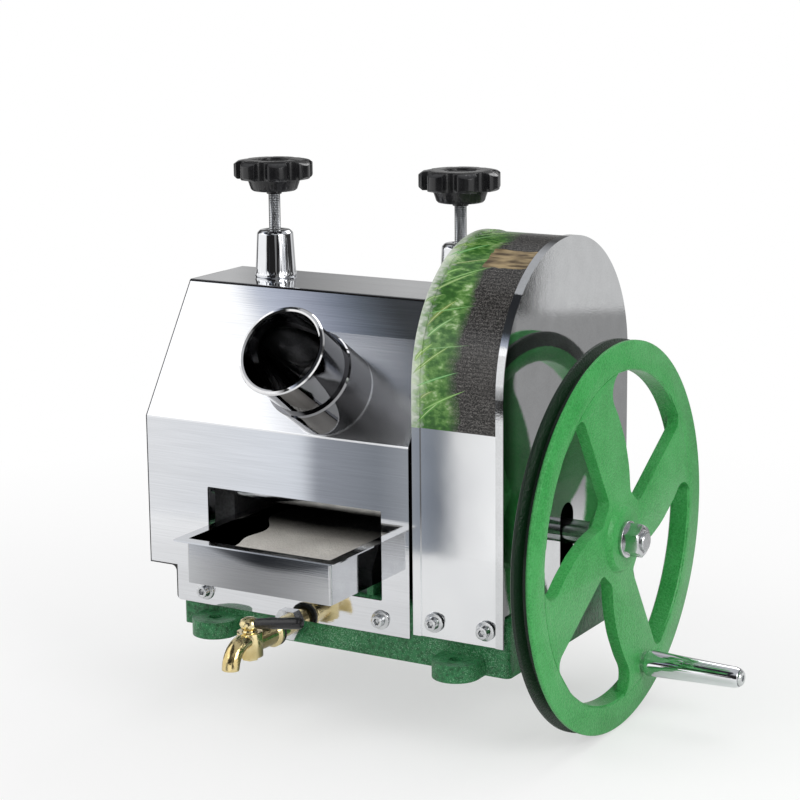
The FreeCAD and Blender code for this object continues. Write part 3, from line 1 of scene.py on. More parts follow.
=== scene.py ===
import json
import math

import bpy
from mathutils import Matrix, Vector

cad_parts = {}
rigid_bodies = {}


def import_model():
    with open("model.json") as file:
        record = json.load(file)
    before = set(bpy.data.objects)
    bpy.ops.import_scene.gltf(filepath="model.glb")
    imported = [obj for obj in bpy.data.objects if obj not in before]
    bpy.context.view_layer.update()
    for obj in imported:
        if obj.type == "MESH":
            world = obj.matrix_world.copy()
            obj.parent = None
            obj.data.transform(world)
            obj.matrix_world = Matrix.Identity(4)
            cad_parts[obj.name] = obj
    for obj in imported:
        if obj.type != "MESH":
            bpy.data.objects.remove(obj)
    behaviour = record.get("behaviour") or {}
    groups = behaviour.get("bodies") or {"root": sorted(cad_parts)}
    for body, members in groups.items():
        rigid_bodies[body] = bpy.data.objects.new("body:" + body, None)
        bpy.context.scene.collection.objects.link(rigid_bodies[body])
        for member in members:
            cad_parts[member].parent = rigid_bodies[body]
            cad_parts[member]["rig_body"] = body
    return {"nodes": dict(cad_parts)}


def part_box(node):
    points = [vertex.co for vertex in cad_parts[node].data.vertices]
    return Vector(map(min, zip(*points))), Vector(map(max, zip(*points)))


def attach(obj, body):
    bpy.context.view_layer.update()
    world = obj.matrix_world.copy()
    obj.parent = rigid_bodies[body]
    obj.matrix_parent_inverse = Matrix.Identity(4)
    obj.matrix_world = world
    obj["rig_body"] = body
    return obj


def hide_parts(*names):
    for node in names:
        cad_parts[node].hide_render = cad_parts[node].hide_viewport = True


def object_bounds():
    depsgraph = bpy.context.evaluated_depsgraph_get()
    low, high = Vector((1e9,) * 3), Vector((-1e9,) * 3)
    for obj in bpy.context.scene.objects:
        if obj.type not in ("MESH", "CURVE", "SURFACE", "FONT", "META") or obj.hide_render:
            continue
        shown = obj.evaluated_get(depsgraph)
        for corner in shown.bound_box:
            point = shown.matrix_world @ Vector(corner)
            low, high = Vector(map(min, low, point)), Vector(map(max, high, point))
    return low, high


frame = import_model()
cad_low, cad_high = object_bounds()
bpy.ops.object.select_all(action="DESELECT")


# The camera stands in front of the juicer, to the right of it and a little above its knobs. Its lens and
# its turn are those that put the cover's corners, the bosses and the wheel where the photograph has them.
def photograph_camera():
    yaw = math.radians(30.41)
    pitch = math.radians(12.23)
    roll = math.radians(-0.56)
    backward = Vector((math.sin(yaw) * math.cos(pitch), -math.cos(yaw) * math.cos(pitch), math.sin(pitch)))
    level_right = Vector((math.cos(yaw), math.sin(yaw), 0))
    level_up = backward.cross(level_right)
    right = level_right * math.cos(roll) + level_up * math.sin(roll)
    up = level_up * math.cos(roll) - level_right * math.sin(roll)
    camera = bpy.data.objects.new("camera", bpy.data.cameras.new("camera"))
    camera.matrix_world = Matrix((right, up, backward)).transposed().to_4x4()
    camera.location = (0.9498, -1.6359, 0.5961)
    camera.data.lens = 103.2
    camera.data.clip_start = 0.05
    bpy.context.scene.collection.objects.link(camera)
    bpy.context.scene.camera = camera


photograph_camera()
bpy.context.scene.view_settings.view_transform = "Standard"


# Studio: a pale floor under the wheel's lowest point, a pale sky that is white where the camera or a
# polished sheet sees it, soft lamps, and dark cards out of the camera's sight for the metal to reflect.
class Wire:
    """Output of a material's node. Arithmetic on wires adds Math nodes, and add() adds any other node."""

    def __init__(self, tree, socket=None):
        self.tree = tree
        self.socket = socket

    def add(self, kind, settings=None, sockets=None, output=0):
        node = self.tree.nodes.new(kind)
        for name, value in (settings or {}).items():
            if name == "stops":
                set_stops(node.color_ramp, value)
            else:
                setattr(node, name, value)
        for name, value in (sockets or {}).items():
            if isinstance(value, Wire):
                self.tree.links.new(value.socket, node.inputs[name])
            else:
                node.inputs[name].default_value = value
        return Wire(self.tree, node.outputs[output]) if len(node.outputs) else None

    def math(self, operation, *values):
        return self.add("ShaderNodeMath", {"operation": operation}, dict(enumerate(values)))

    def __add__(self, other):
        return self.math("ADD", self, other)

    def __radd__(self, other):
        return self.math("ADD", other, self)

    def __sub__(self, other):
        return self.math("SUBTRACT", self, other)

    def __rsub__(self, other):
        return self.math("SUBTRACT", other, self)

    def __mul__(self, other):
        return self.math("MULTIPLY", self, other)

    def __rmul__(self, other):
        return self.math("MULTIPLY", other, self)

    def __truediv__(self, other):
        return self.math("DIVIDE", self, other)

    def __abs__(self):
        return self.math("ABSOLUTE", self)

    def __gt__(self, other):
        return self.math("GREATER_THAN", self, other)

    def __lt__(self, other):
        return self.math("LESS_THAN", self, other)


def set_stops(ramp, stops):
    """Stops are (place, colour or grey level), in order of place."""
    colours = [value if isinstance(value, tuple) else (value, value, value) for place, value in stops]
    ramp.elements[0].position = stops[0][0]
    ramp.elements[0].color = (*colours[0], 1)
    ramp.elements[1].position = stops[-1][0]
    ramp.elements[1].color = (*colours[-1], 1)
    for (place, value), colour in list(zip(stops, colours))[1:-1]:
        ramp.elements.new(place).color = (*colour, 1)


def new_finish(name):
    """Starts a material and gives a wire from which its nodes are added."""
    material = bpy.data.materials.new(name)
    material.use_nodes = True
    material.node_tree.nodes.clear()
    return material, Wire(material.node_tree)


def spread(wire, stretch=(1, 1, 1)):
    """Place on the piece in metres, stretched along each axis."""
    here = wire.add("ShaderNodeTexCoord", output="Object")
    return wire.add("ShaderNodeMapping", {}, {"Vector": here, "Scale": stretch})


def along_axes(wire):
    """The three parts of the place on the piece, in metres."""
    here = spread(wire)
    return [wire.add("ShaderNodeSeparateXYZ", {}, {"Vector": here}, axis) for axis in "XYZ"]


def noise(wire, scale, detail=3.0, stretch=(1, 1, 1), roughness=0.5):
    return wire.add("ShaderNodeTexNoise", {}, {"Vector": spread(wire, stretch), "Scale": scale, "Detail": detail,
                                               "Roughness": roughness})


def cells(wire, scale, feature="F1"):
    return wire.add("ShaderNodeTexVoronoi", {"feature": feature}, {"Vector": spread(wire), "Scale": scale}, "Distance")


def ramp(wire, *stops):
    return wire.add("ShaderNodeValToRGB", {"stops": stops}, {"Fac": wire})


def blend(share, first, second):
    """Colour that goes from first to second as share goes from 0 to 1."""
    first = first if isinstance(first, Wire) else (*first, 1)
    second = second if isinstance(second, Wire) else (*second, 1)
    return share.add("ShaderNodeMix", {"data_type": "RGBA"}, {0: share, 6: first, 7: second}, 2)


def bumps(height, depth):
    return height.add("ShaderNodeBump", {}, {"Height": height, "Distance": depth})


def coat_of(material, wire, colour, roughness, metallic=0.0, normal=None, **sockets):
    """Closes a material with its surface; sockets are the shader's others, such as Coat_Weight."""
    values = {"Base Color": colour, "Roughness": roughness, "Metallic": metallic}
    if normal:
        values["Normal"] = normal
    for name, value in sockets.items():
        values[name.replace("_", " ")] = value
    surface = wire.add("ShaderNodeBsdfPrincipled", {}, values)
    wire.add("ShaderNodeOutputMaterial", {}, {"Surface": surface})
    return material


def around(wire, place):
    """Level that polished metal sees in each direction around the juicer: dark behind the camera, white on
    both sides of it, grey behind the juicer. Stops are shares of a turn, from the left."""
    x = wire.add("ShaderNodeSeparateXYZ", {}, {"Vector": place}, "X")
    y = wire.add("ShaderNodeSeparateXYZ", {}, {"Vector": place}, "Y")
    turn = wire.math("ARCTAN2", y, x) / math.tau + 0.5
    return ramp(turn, (0.0, 1.1), (0.175, 1.1), (0.195, 0.02), (0.325, 0.015), (0.335, 0.22), (0.36, 0.22),
                (0.37, 0.015), (0.395, 0.02), (0.405, 1.1), (0.515, 1.1), (0.53, 0.06), (0.555, 0.08), (0.57, 0.40),
                (0.80, 0.32), (0.84, 0.05), (0.975, 0.05), (0.985, 1.1), (1.0, 1.1))


def studio_sky():
    world = bpy.data.worlds.new("studio_sky")
    bpy.context.scene.world = world
    world.use_nodes = True
    world.node_tree.nodes.clear()
    wire = Wire(world.node_tree)
    direction = wire.add("ShaderNodeTexCoord", output="Generated")
    height = wire.add("ShaderNodeSeparateXYZ", {}, {"Vector": direction}, "Z")
    lit = ramp(height * 0.5 + 0.5, (0.0, 0.40), (0.45, 0.48), (0.62, 0.56), (1.0, 0.70))
    to_camera = wire.add("ShaderNodeLightPath", output="Is Camera Ray")
    to_metal = wire.add("ShaderNodeLightPath", output="Is Glossy Ray")
    ring = blend(ramp(height, (0.45, 0.0), (0.75, 1.0)), around(wire, direction), (0.55, 0.56, 0.58))
    shown = blend(to_camera, blend(to_metal, lit, ring), (1.0, 1.0, 1.0))
    glow = wire.add("ShaderNodeBackground", {}, {"Color": shown, "Strength": 1.0})
    wire.add("ShaderNodeOutputWorld", {}, {"Surface": glow})


def studio_floor():
    bpy.ops.mesh.primitive_plane_add(size=14, location=(0, 0, cad_low.z - 0.001))
    floor = bpy.context.object
    floor.name = "floor"
    material, wire = new_finish("pale_floor")
    tone = ramp(noise(wire, 1.3, 2.0), (0.3, 0.90), (0.7, 0.93))
    paper = wire.add("ShaderNodeBsdfDiffuse", {}, {"Color": tone})
    white = wire.add("ShaderNodeEmission", {}, {"Color": (1, 1, 1, 1), "Strength": 1.0})
    place = spread(wire)
    far = wire.add("ShaderNodeVectorMath", {"operation": "LENGTH"}, {0: place}, "Value")
    fade = ramp(far, (0.35, 0.55), (0.95, 1.0))
    to_camera = wire.add("ShaderNodeLightPath", output="Is Camera Ray")
    to_metal = wire.add("ShaderNodeLightPath", output="Is Glossy Ray")
    ring = wire.add("ShaderNodeEmission", {}, {"Color": around(wire, place), "Strength": 1.0})
    seen = wire.add("ShaderNodeMixShader", {}, {0: to_camera * fade, 1: paper, 2: white})
    away = to_metal * ramp(far, (0.60, 0.0), (0.85, 1.0))
    both = wire.add("ShaderNodeMixShader", {}, {0: away, 1: seen, 2: ring})
    wire.add("ShaderNodeOutputMaterial", {}, {"Surface": both})
    floor.data.materials.append(material)


def soft_lamp(name, place, aim, width, height, power):
    data = bpy.data.lights.new(name, "AREA")
    data.shape = "RECTANGLE"
    data.size = width
    data.size_y = height
    data.energy = power
    lamp = bpy.data.objects.new(name, data)
    lamp.location = place
    lamp.rotation_mode = "QUATERNION"
    lamp.rotation_quaternion = (Vector(aim) - Vector(place)).to_track_quat("-Z", "Y")
    bpy.context.scene.collection.objects.link(lamp)


def reflection_card(name, middle, facing, width, height, lean, *stops):
    """Card that only polished surfaces see. Its level runs through (place, level) stops, a place being the
    card's X, in metres, plus lean times its Y."""
    bpy.ops.mesh.primitive_plane_add(size=1, location=middle)
    card = bpy.context.object
    card.name = name
    card.scale = (width, height, 1)
    card.rotation_mode = "QUATERNION"
    card.rotation_quaternion = (Vector(facing) - Vector(middle)).to_track_quat("Z", "Y")
    card.visible_camera = False
    card.visible_shadow = False
    card.visible_diffuse = False
    material, wire = new_finish(name)
    place = wire.add("ShaderNodeNewGeometry", output="Position")
    along = (wire.add("ShaderNodeSeparateXYZ", {}, {"Vector": place}, "X")
             + wire.add("ShaderNodeSeparateXYZ", {}, {"Vector": place}, "Y") * lean)
    first = stops[0][0]
    length = stops[-1][0] - first
    shares = [((stop - first) / length, level) for stop, level in stops]
    level = ramp((along - first) / length, *shares)
    glow = wire.add("ShaderNodeEmission", {}, {"Color": level, "Strength": 1.0})
    wire.add("ShaderNodeOutputMaterial", {}, {"Surface": glow})
    card.data.materials.append(material)


studio_sky()
studio_floor()
soft_lamp("key_lamp", (-1.0, -1.6, 1.7), (0, 0, 0.1), 1.2, 1.2, 13)
soft_lamp("side_lamp", (1.9, -0.7, 1.1), (0.1, 0, 0.1), 1.0, 1.0, 17)
soft_lamp("back_lamp", (0.2, 1.7, 1.6), (0, 0, 0.1), 1.4, 0.8, 10)
reflection_card("slope_card", (-0.60, -0.80, 1.15), (-0.05, -0.08, 0.23), 2.0, 1.1, 0.57,
                (-1.30, 1.5), (-1.21, 1.4), (-1.185, (0.66, 0.70, 0.80)), (-1.165, (0.54, 0.58, 0.69)),
                (-1.135, (0.42, 0.45, 0.54)), (-1.105, (0.25, 0.28, 0.35)), (-1.075, (0.12, 0.14, 0.17)),
                (-1.04, (0.04, 0.045, 0.05)), (-0.90, (0.03, 0.032, 0.036)))
reflection_card("front_card", (-0.30, -0.60, 0.01), (-0.30, 0.0, 0.01), 1.0, 0.16, 0.0,
                (-0.60, 0.98), (-0.36, (0.86, 0.89, 0.94)), (-0.345, (0.80, 0.83, 0.88)),
                (-0.325, (0.34, 0.36, 0.40)), (-0.25, (0.24, 0.26, 0.29)), (-0.21, (0.36, 0.38, 0.41)),
                (-0.195, (0.26, 0.29, 0.34)), (-0.175, (0.18, 0.20, 0.23)), (-0.15, 0.85), (-0.05, 1.2))
reflection_card("back_card", (-0.9, 1.3, 0.22), (0, 0, 0.22), 2.2, 0.74, 0.0, (-2.0, 0.58), (-1.02, 0.56),
                (-0.95, 0.28), (-0.80, 0.52), (0.5, 0.56))
reflection_card("side_card", (1.3, 1.5, -0.05), (0.15, 0, 0.1), 2.4, 1.6, 0.0, (0.2, 0.72), (1.045, 0.72),
                (1.055, 0.05), (2.4, 0.03))


# Cast base with its four bench lugs: one grey-iron casting, fettled so that its edges are soft, then sprayed
# all over in dark green hammertone enamel that dries in pools with pale rims and specks.
def select_only(piece):
    bpy.ops.object.select_all(action="DESELECT")
    piece.select_set(True)
    bpy.context.view_layer.objects.active = piece


def finished_copy(node, material, edge=0.0, segments=2, smooth=35):
    """Copy of a CAD node, merged, with its hard edges rounded by edge metres, put in the node's place."""
    source = frame["nodes"][node]
    piece = bpy.data.objects.new(node + "_finished", source.data.copy())
    bpy.context.scene.collection.objects.link(piece)
    select_only(piece)
    bpy.ops.object.mode_set(mode="EDIT")
    bpy.ops.mesh.select_all(action="SELECT")
    bpy.ops.mesh.remove_doubles(threshold=0.000005)
    bpy.ops.mesh.dissolve_limited(angle_limit=math.radians(1.0))
    bpy.ops.object.mode_set(mode="OBJECT")
    if edge:
        rounding = piece.modifiers.new("rounding", "BEVEL")
        rounding.width = edge
        rounding.segments = segments
        rounding.limit_method = "ANGLE"
        rounding.angle_limit = math.radians(38)
        bpy.ops.object.modifier_apply(modifier="rounding")
    bpy.ops.object.shade_smooth_by_angle(angle=math.radians(smooth))
    piece.data.materials.clear()
    piece.data.materials.append(material)
    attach(piece, source["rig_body"])
    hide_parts(node)
    return piece


def hammertone(name, ground, pool, fleck, pool_size, fleck_share, roughness, painted_shade_mask=None):
    """Enamel whose pools have pool_size cells to the metre. painted_shade_mask, if given, takes the place on the
    casting and says where painted shade darkens the enamel, from 0 to 1."""
    material, wire = new_finish(name)
    painted_shade_colour = (0.002, 0.014, 0.005)
    pools = cells(wire, pool_size, "SMOOTH_F1")
    grain = noise(wire, pool_size * 2.2, 4.0)
    drift = noise(wire, 28, 2.0)
    mottle = ramp(pools * 0.8 + grain * 0.55 + drift * 0.5, (0.50, 0.0), (1.05, 1.0))
    colour = blend(mottle, ground, pool)
    flecks = ramp(noise(wire, pool_size * 4.0, 2.0) + drift * 0.25, (0.70, 0.0), (0.80, 1.0))
    colour = blend(flecks * fleck_share, colour, fleck)
    # Painted shade: where the mask says, the enamel colour is darkened towards painted_shade_colour.
    if painted_shade_mask:
        colour = blend(painted_shade_mask(*along_axes(wire)), colour, painted_shade_colour)
    normal = bumps(pools * 0.6 + grain * 0.5, 0.0006)
    return coat_of(material, wire, colour, grain * 0.2 + roughness, 0.0, normal, Coat_Weight=0.15,
                   Coat_Roughness=0.15, Specular_IOR_Level=0.3)


base_enamel = hammertone("base_enamel", ground=(0.006, 0.062, 0.018), pool=(0.026, 0.185, 0.062),
                         fleck=(0.26, 0.52, 0.32), pool_size=330, fleck_share=0.65, roughness=0.28)
finished_copy("base_casting", base_enamel, 0.0015, 3)


# Castings under the covers: two cheeks, their caps, the crank's housing and the turn plate, in plain grey
# iron that shows its sand skin and a film of oil.
def dress(nodes, material):
    """Gives CAD nodes their finish; their shape stays as it is."""
    for node in nodes:
        piece = frame["nodes"][node]
        piece.data.materials.clear()
        piece.data.materials.append(material)


def oiled_casting():
    material, wire = new_finish("oiled_casting")
    sand = noise(wire, 420, 5.0)
    colour = ramp(sand * 0.6 + noise(wire, 14) * 0.4, (0.35, (0.085, 0.085, 0.090)), (0.65, (0.19, 0.19, 0.195)))
    return coat_of(material, wire, colour, sand * 0.3 + 0.35, 0.7, bumps(sand, 0.0005))


dress(["left_cheek", "right_cheek", "cheek_caps", "shaft_housing", "turn_plate"], oiled_casting())


# Rollers: stainless bars turned and fluted on a shaper, dulled by juice; the sheets that guide the cane
# into and out of their nips are bent from the same steel.
def worked_stainless():
    material, wire = new_finish("worked_stainless")
    turning = noise(wire, 900, 2.0, (3, 0.3, 0.3))
    stain = noise(wire, 35, 4.0)
    colour = ramp(stain * 0.7 + turning * 0.3, (0.35, (0.40, 0.40, 0.385)), (0.65, (0.60, 0.60, 0.59)))
    return coat_of(material, wire, colour, turning * 0.2 + 0.2, 1.0, bumps(turning, 0.00008))


dress(["front_roller", "rear_roller", "top_roller", "front_guide", "rear_guide"], worked_stainless())


# Gear train: the pinion, the large drive gear and the three roller gears, hobbed from steel, keyed on their
# shafts and greased. Their keys and the sliding blocks of the top roller are machined from the same steel.
def greased_steel():
    material, wire = new_finish("greased_steel")
    film = noise(wire, 60, 4.0)
    cut = noise(wire, 1500, 2.0, (0.2, 1, 1))
    colour = ramp(film, (0.35, (0.16, 0.155, 0.15)), (0.65, (0.33, 0.33, 0.335)))
    return coat_of(material, wire, colour, film * 0.25 + 0.12, 1.0, bumps(cut, 0.00006), Coat_Weight=0.3)


dress(["drive_pinion", "front_mill_gear", "rear_mill_gear", "top_mill_gear", "top_drive_gear", "top_gear_keys",
       "front_gear_key", "rear_gear_key", "top_block_left", "top_block_right"], greased_steel())


# Crank shaft: bright drawn bar, ground where it runs, with the wheel's key let into it.
def drawn_bar():
    material, wire = new_finish("drawn_bar")
    drawing = noise(wire, 900, 3.0, (0.03, 1, 1))
    colour = ramp(drawing, (0.35, (0.36, 0.37, 0.38)), (0.65, (0.58, 0.59, 0.60)))
    return coat_of(material, wire, colour, drawing * 0.12 + 0.14, 1.0, bumps(drawing, 0.00004))


dress(["crank_shaft", "wheel_key"], drawn_bar())


# Bushes: sintered bronze, pressed into the cheeks, the sliding blocks and the crank's housing.
def sintered_bronze():
    material, wire = new_finish("sintered_bronze")
    pores = noise(wire, 1800, 3.0)
    colour = ramp(pores, (0.35, (0.36, 0.22, 0.10)), (0.65, (0.55, 0.37, 0.18)))
    return coat_of(material, wire, colour, pores * 0.2 + 0.3, 1.0, bumps(pores, 0.00006))


dress(["lower_bushes", "shaft_bushes", "top_bushes"], sintered_bronze())


# Bolts, nuts, washers, tie bars and cover screws: turned steel, bright zinc plated.
def bright_zinc():
    material, wire = new_finish("bright_zinc")
    plating = noise(wire, 120, 4.0)
    grain = noise(wire, 2500, 2.0)
    colour = ramp(plating, (0.3, (0.50, 0.51, 0.52)), (0.7, (0.70, 0.71, 0.72)))
    return coat_of(material, wire, colour, grain * 0.1 + plating * 0.12 + 0.08, 1.0, bumps(grain, 0.00004))


zinc = bright_zinc()
dress(["cheek_bolts", "cheek_tie_bars", "front_gear_nut", "rear_gear_nut", "top_gear_nut", "outlet_locknut",
       "handle_pin"], zinc)
for node in ("main_cover_screws", "gear_cover_screws", "wheel_washer", "wheel_nut"):
    finished_copy(node, zinc, 0.0004)


# Main cover: one stainless sheet folded over the cheeks and welded to its end panels, ground along its
# length and buffed to a near mirror, so that long soft streaks run across the slope and the front.
def buffed_sheet(name, tone, stretch, roughness, streaks, shade=None, shade_tone=(0.05, 0.05, 0.05),
                 dull=None):
    """Polished sheet whose buffing marks run along the axis that has the smallest stretch. shade and dull, if given,
    take the place on the piece; shade says where painted shade and dark reflections darken the colour towards
    shade_tone, and dull says how rough the sheet is there."""
    material, wire = new_finish(name)
    fine = noise(wire, 900, 2.0, stretch)
    broad = noise(wire, 60, 3.0, stretch)
    cloud = noise(wire, 9, 2.0)
    wear = fine * 0.45 + broad * 0.35 + cloud * 0.2
    colour = ramp(wear, (0.35, tuple(0.86 * part for part in tone)), (0.65, tone))
    if shade:
        colour = blend(shade(*along_axes(wire)), colour, shade_tone)
    rough = (fine * 0.5 + broad * 0.5) * streaks + roughness
    if dull:
        rough = rough + dull(*along_axes(wire))
    return coat_of(material, wire, colour, rough, 1.0, bumps(fine * 0.4 + broad * 0.6, 0.00003))


def painted_corner_reflection(x, y, z):
    """Painted dark reflections along the cover's left end corner and its roof, and along the edge of the step at the
    lower left.
    """
    low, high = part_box("main_cover")
    deck = 0.0495
    dark_band_width = 0.0011
    step = low.x + 0.027
    left_corner_dark = (x > low.x + 0.0001) * (x < low.x + dark_band_width) * (y < 0.0)
    roof_corner_dark = (z > high.z - dark_band_width * 1.5) * (z < high.z - 0.0002)
    step_edge_dark = (x < step + dark_band_width) * (z < deck + dark_band_width) * (y < low.y + 0.002) * (x > low.x + 0.0001)
    return x.math("MINIMUM", left_corner_dark + roof_corner_dark + step_edge_dark, 1.0)


def dull_by_tube(x, y, z):
    """Round the feed tube the wheel couldn't buff the slope, so it mirrors softly there."""
    tube_z = 0.2
    reach = 0.11
    slope_foot = 0.176
    up = z - tube_z
    near = x.math("SQRT", x * x + up * up)
    return ramp(near / reach, (0.30, 0.20), (0.95, 0.0)) * (y < -0.07) * (z > slope_foot)


# The cover's colour carries painted dark reflections along its left corner, its roof and the step's edge.
cover_sheet = buffed_sheet("cover_sheet", (0.78, 0.79, 0.81), (0.02, 1, 1), 0.03, 0.05, painted_corner_reflection,
                           dull=dull_by_tube)
dress(["main_cover"], cover_sheet)


# Feed tube and its socket on the slope: drawn stainless tube, mirror bright, its mouth rolled outwards
# into a double bead. Juice pan and tray are pressed and folded from the covers' sheet.
def painted_tube_reflection(x, y, z):
    """Painted dark reflection on the tube between its mouth bead and the weld at its foot, which stay bright."""
    foot_y, foot_z = -0.0986, 0.2096
    forward, up = 0.836, 0.548
    weld = 0.0014
    bead = 0.0815
    out = (z - foot_z) * up - (y - foot_y) * forward
    return (out > weld) * (out < bead)


# The tube's colour is darkened between its bead and its foot by a painted dark reflection.
tube_sheet = buffed_sheet("tube_sheet", (0.82, 0.82, 0.83), (1, 1, 1), 0.02, 0.03, painted_tube_reflection, (0.26, 0.26, 0.27))
dress(["feed_tube", "feed_sleeve"], tube_sheet)


def tray_shade(x, y, z):
    """Painted dark reflection inside the tray, and a soft painted dark lens of reflection on the tray's bellied front
    wall under its rim.
    """
    low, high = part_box("juice_tray")
    flange = 0.008
    inside = ((x > low.x + flange + 0.0005) * (x < high.x - flange - 0.0005) * (y > low.y + flange + 0.0005)
              * (z < high.z - 0.0016) * (z > low.z + 0.0005))
    share = (x - low.x - flange) / (high.x - low.x - 2 * flange)
    climb = (z - low.z) / (high.z - low.z)
    lens = climb - 1 + x.math("SINE", share * 2.6) * 0.48
    lens = ramp(lens, (0.0, 0.0), (0.16, 0.35)) + x.math("SINE", share * math.pi) * 0.35 + 0.28
    front = lens * (y < low.y + flange + 0.0002) * (climb < 0.94)
    return x.math("MAXIMUM", inside, front)


# The tray's colour carries painted dark reflections inside it and on its front wall.
tray_sheet = buffed_sheet("tray_sheet", (0.70, 0.71, 0.73), (0.03, 1, 1), 0.05, 0.08, tray_shade,
                          (0.03, 0.032, 0.036))
dress(["juice_tray"], tray_sheet)
dress(["juice_pan"], buffed_sheet("pan_sheet", (0.70, 0.71, 0.72), (0.03, 1, 1), 0.08, 0.10))


# Gear cover's right panel: mirror sheet with an arched top, its edge folded onto the band beside it. The
# crank shaft comes out through its slot.
def painted_edge_reflection(x, y, z):
    """Painted dark reflection along the right panel's front edge."""
    low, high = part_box("gear_cover_side")
    return ramp((y - low.y) / 0.03, (0.2, 0.85), (0.75, 0.0)) * (x > high.x - 0.0005)


# The right panel's colour carries a painted dark reflection along its front edge.
dress(["gear_cover_side"], buffed_sheet("panel_sheet", (0.70, 0.71, 0.72), (1, 1, 1), 0.02, 0.03, painted_edge_reflection))


# Gear cover's band and back panel: sheet bent over the arch, the panel's edge folded round it. A printed film
# covers both: green blades on the left, speckled charcoal on the right, a straw patch near the crown.
# Below the film the sheet is bare.
def printed_band():
    material, wire = new_finish("printed_band")
    x, y, z = along_axes(wire)
    band_low, band_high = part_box("gear_cover_band")
    plate_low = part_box("gear_backplate")[0]
    radius = (band_high.y - band_low.y) / 2
    middle_y = (band_high.y + band_low.y) / 2
    arch_z = band_high.z - radius
    film_foot = 0.195
    across = (x - plate_low.x) / (band_high.x - plate_low.x)
    turn = wire.math("ARCTAN2", z - arch_z, middle_y - y)
    climb = wire.math("MINIMUM", z, arch_z) + wire.math("MAXIMUM", turn, 0.0) * radius - film_foot

    specks = noise(wire, 2600, 2.0, (0.45, 1, 1))
    rows = wire.math("SINE", climb * 1900.0 + noise(wire, 60, 2.0) * 1.5) * 0.5 + 0.5
    dark = blend(ramp(specks + rows * 0.05, (0.54, 0.0), (0.70, 1.0)), (0.012, 0.011, 0.010), (0.20, 0.19, 0.18))
    turf = noise(wire, 55, 3.0, (1.0, 0.7, 0.7))
    strands = noise(wire, 420, 4.0, (0.35, 1.0, 0.5), 0.6)
    grass = ramp(turf * 0.45 + strands * 0.55, (0.30, (0.008, 0.04, 0.006)), (0.47, (0.035, 0.13, 0.018)),
                 (0.57, (0.13, 0.28, 0.065)), (0.68, (0.56, 0.68, 0.42)))
    haze = ramp(across + strands * 0.35 - turf * 0.1, (0.12, 0.85), (0.25, 0.0))
    grass = blend(haze, grass, (0.66, 0.70, 0.62))
    edge = across + noise(wire, 45, 4.0) * 0.30 + strands * 0.10 - 0.20
    colour = blend(ramp(edge, (0.40, 0.0), (0.52, 1.0)), grass, dark)

    pale = (0.55, 0.70, 0.36)
    for blade in range(26):
        foot = 0.004 + blade * 0.0096
        lean = 0.24 + 0.20 * math.sin(blade * 2.3)
        reach = 0.016 + 0.009 * math.sin(blade * 1.7 + 1)
        along = (climb - foot) / reach
        spine = across - (0.06 + 0.05 * math.sin(blade * 1.1)) - along * lean - along * along * 0.10
        thick = along * (1 - along) * 0.11
        inside = (abs(spine) < thick) * (along > 0.0) * (along < 1.0) * 0.8
        rib = abs(spine) < thick * 0.2
        tone = (0.10 + 0.06 * (blade % 3), 0.30 + 0.09 * (blade % 2), 0.05 + 0.02 * (blade % 4))
        colour = blend(inside, colour, blend(rib, tone, pale))

    straw_climb = 0.152
    straw = abs(climb - straw_climb) < 0.011 + (noise(wire, 40, 3.0) - 0.5) * 0.012
    patch = straw * (across > 0.45 + (noise(wire, 50, 3.0) - 0.5) * 0.25)
    stalks = ramp(noise(wire, 300, 4.0, (0.2, 1, 1)), (0.35, (0.07, 0.045, 0.02)), (0.65, (0.36, 0.27, 0.14)))
    colour = blend(patch, colour, stalks)

    rise = wire.math("MAXIMUM", z - arch_z, 0.0)
    run = y - middle_y
    film = (climb > 0.0) * (wire.math("SQRT", run * run + rise * rise) > radius - 0.0006)
    bare_cloud = noise(wire, 12, 2.0)
    bare = ramp(bare_cloud, (0.35, (0.74, 0.75, 0.77)), (0.65, (0.84, 0.85, 0.86)))
    colour = blend(film, bare, colour)
    metal = 1 - film
    rough = film * 0.18 + 0.05 + bare_cloud * 0.05
    return coat_of(material, wire, colour, rough, metal, bumps(noise(wire, 20, 2.0), 0.0001))


dress(["gear_cover_band", "gear_backplate"], printed_band())


# Screw bosses on the roof: tapered steel sleeves, chrome plated. The handle's grip is a chromed tube that
# turns on its pin.
def bright_chrome():
    material, wire = new_finish("bright_chrome")
    haze = noise(wire, 30, 3.0)
    colour = ramp(haze, (0.3, (0.72, 0.73, 0.75)), (0.7, (0.80, 0.81, 0.83)))
    return coat_of(material, wire, colour, haze * 0.05 + 0.02, 1.0)


chrome = bright_chrome()
for node in ("left_screw_boss", "right_screw_boss", "grip_sleeve"):
    finished_copy(node, chrome, 0.0006)


# Press screws: zinc-plated threaded bar, screwed through the bosses and the cheeks' caps. The thread shows as
# grooves in the bump, and painted shade darkens the colour in each groove.
def threaded_zinc():
    material, wire = new_finish("threaded_zinc")
    pitch = 0.0015
    z = along_axes(wire)[2]
    thread = abs(wire.math("FRACT", z / pitch) - 0.5) * 2
    # Painted shade: the colour is darkest at the bottom of each thread groove.
    colour = ramp(thread, (0.05, (0.20, 0.205, 0.21)), (0.6, (0.66, 0.67, 0.68)))
    return coat_of(material, wire, colour, thread * 0.1 + 0.15, 1.0, bumps(thread, 0.0005))


dress(["left_press_screw", "right_press_screw"], threaded_zinc())


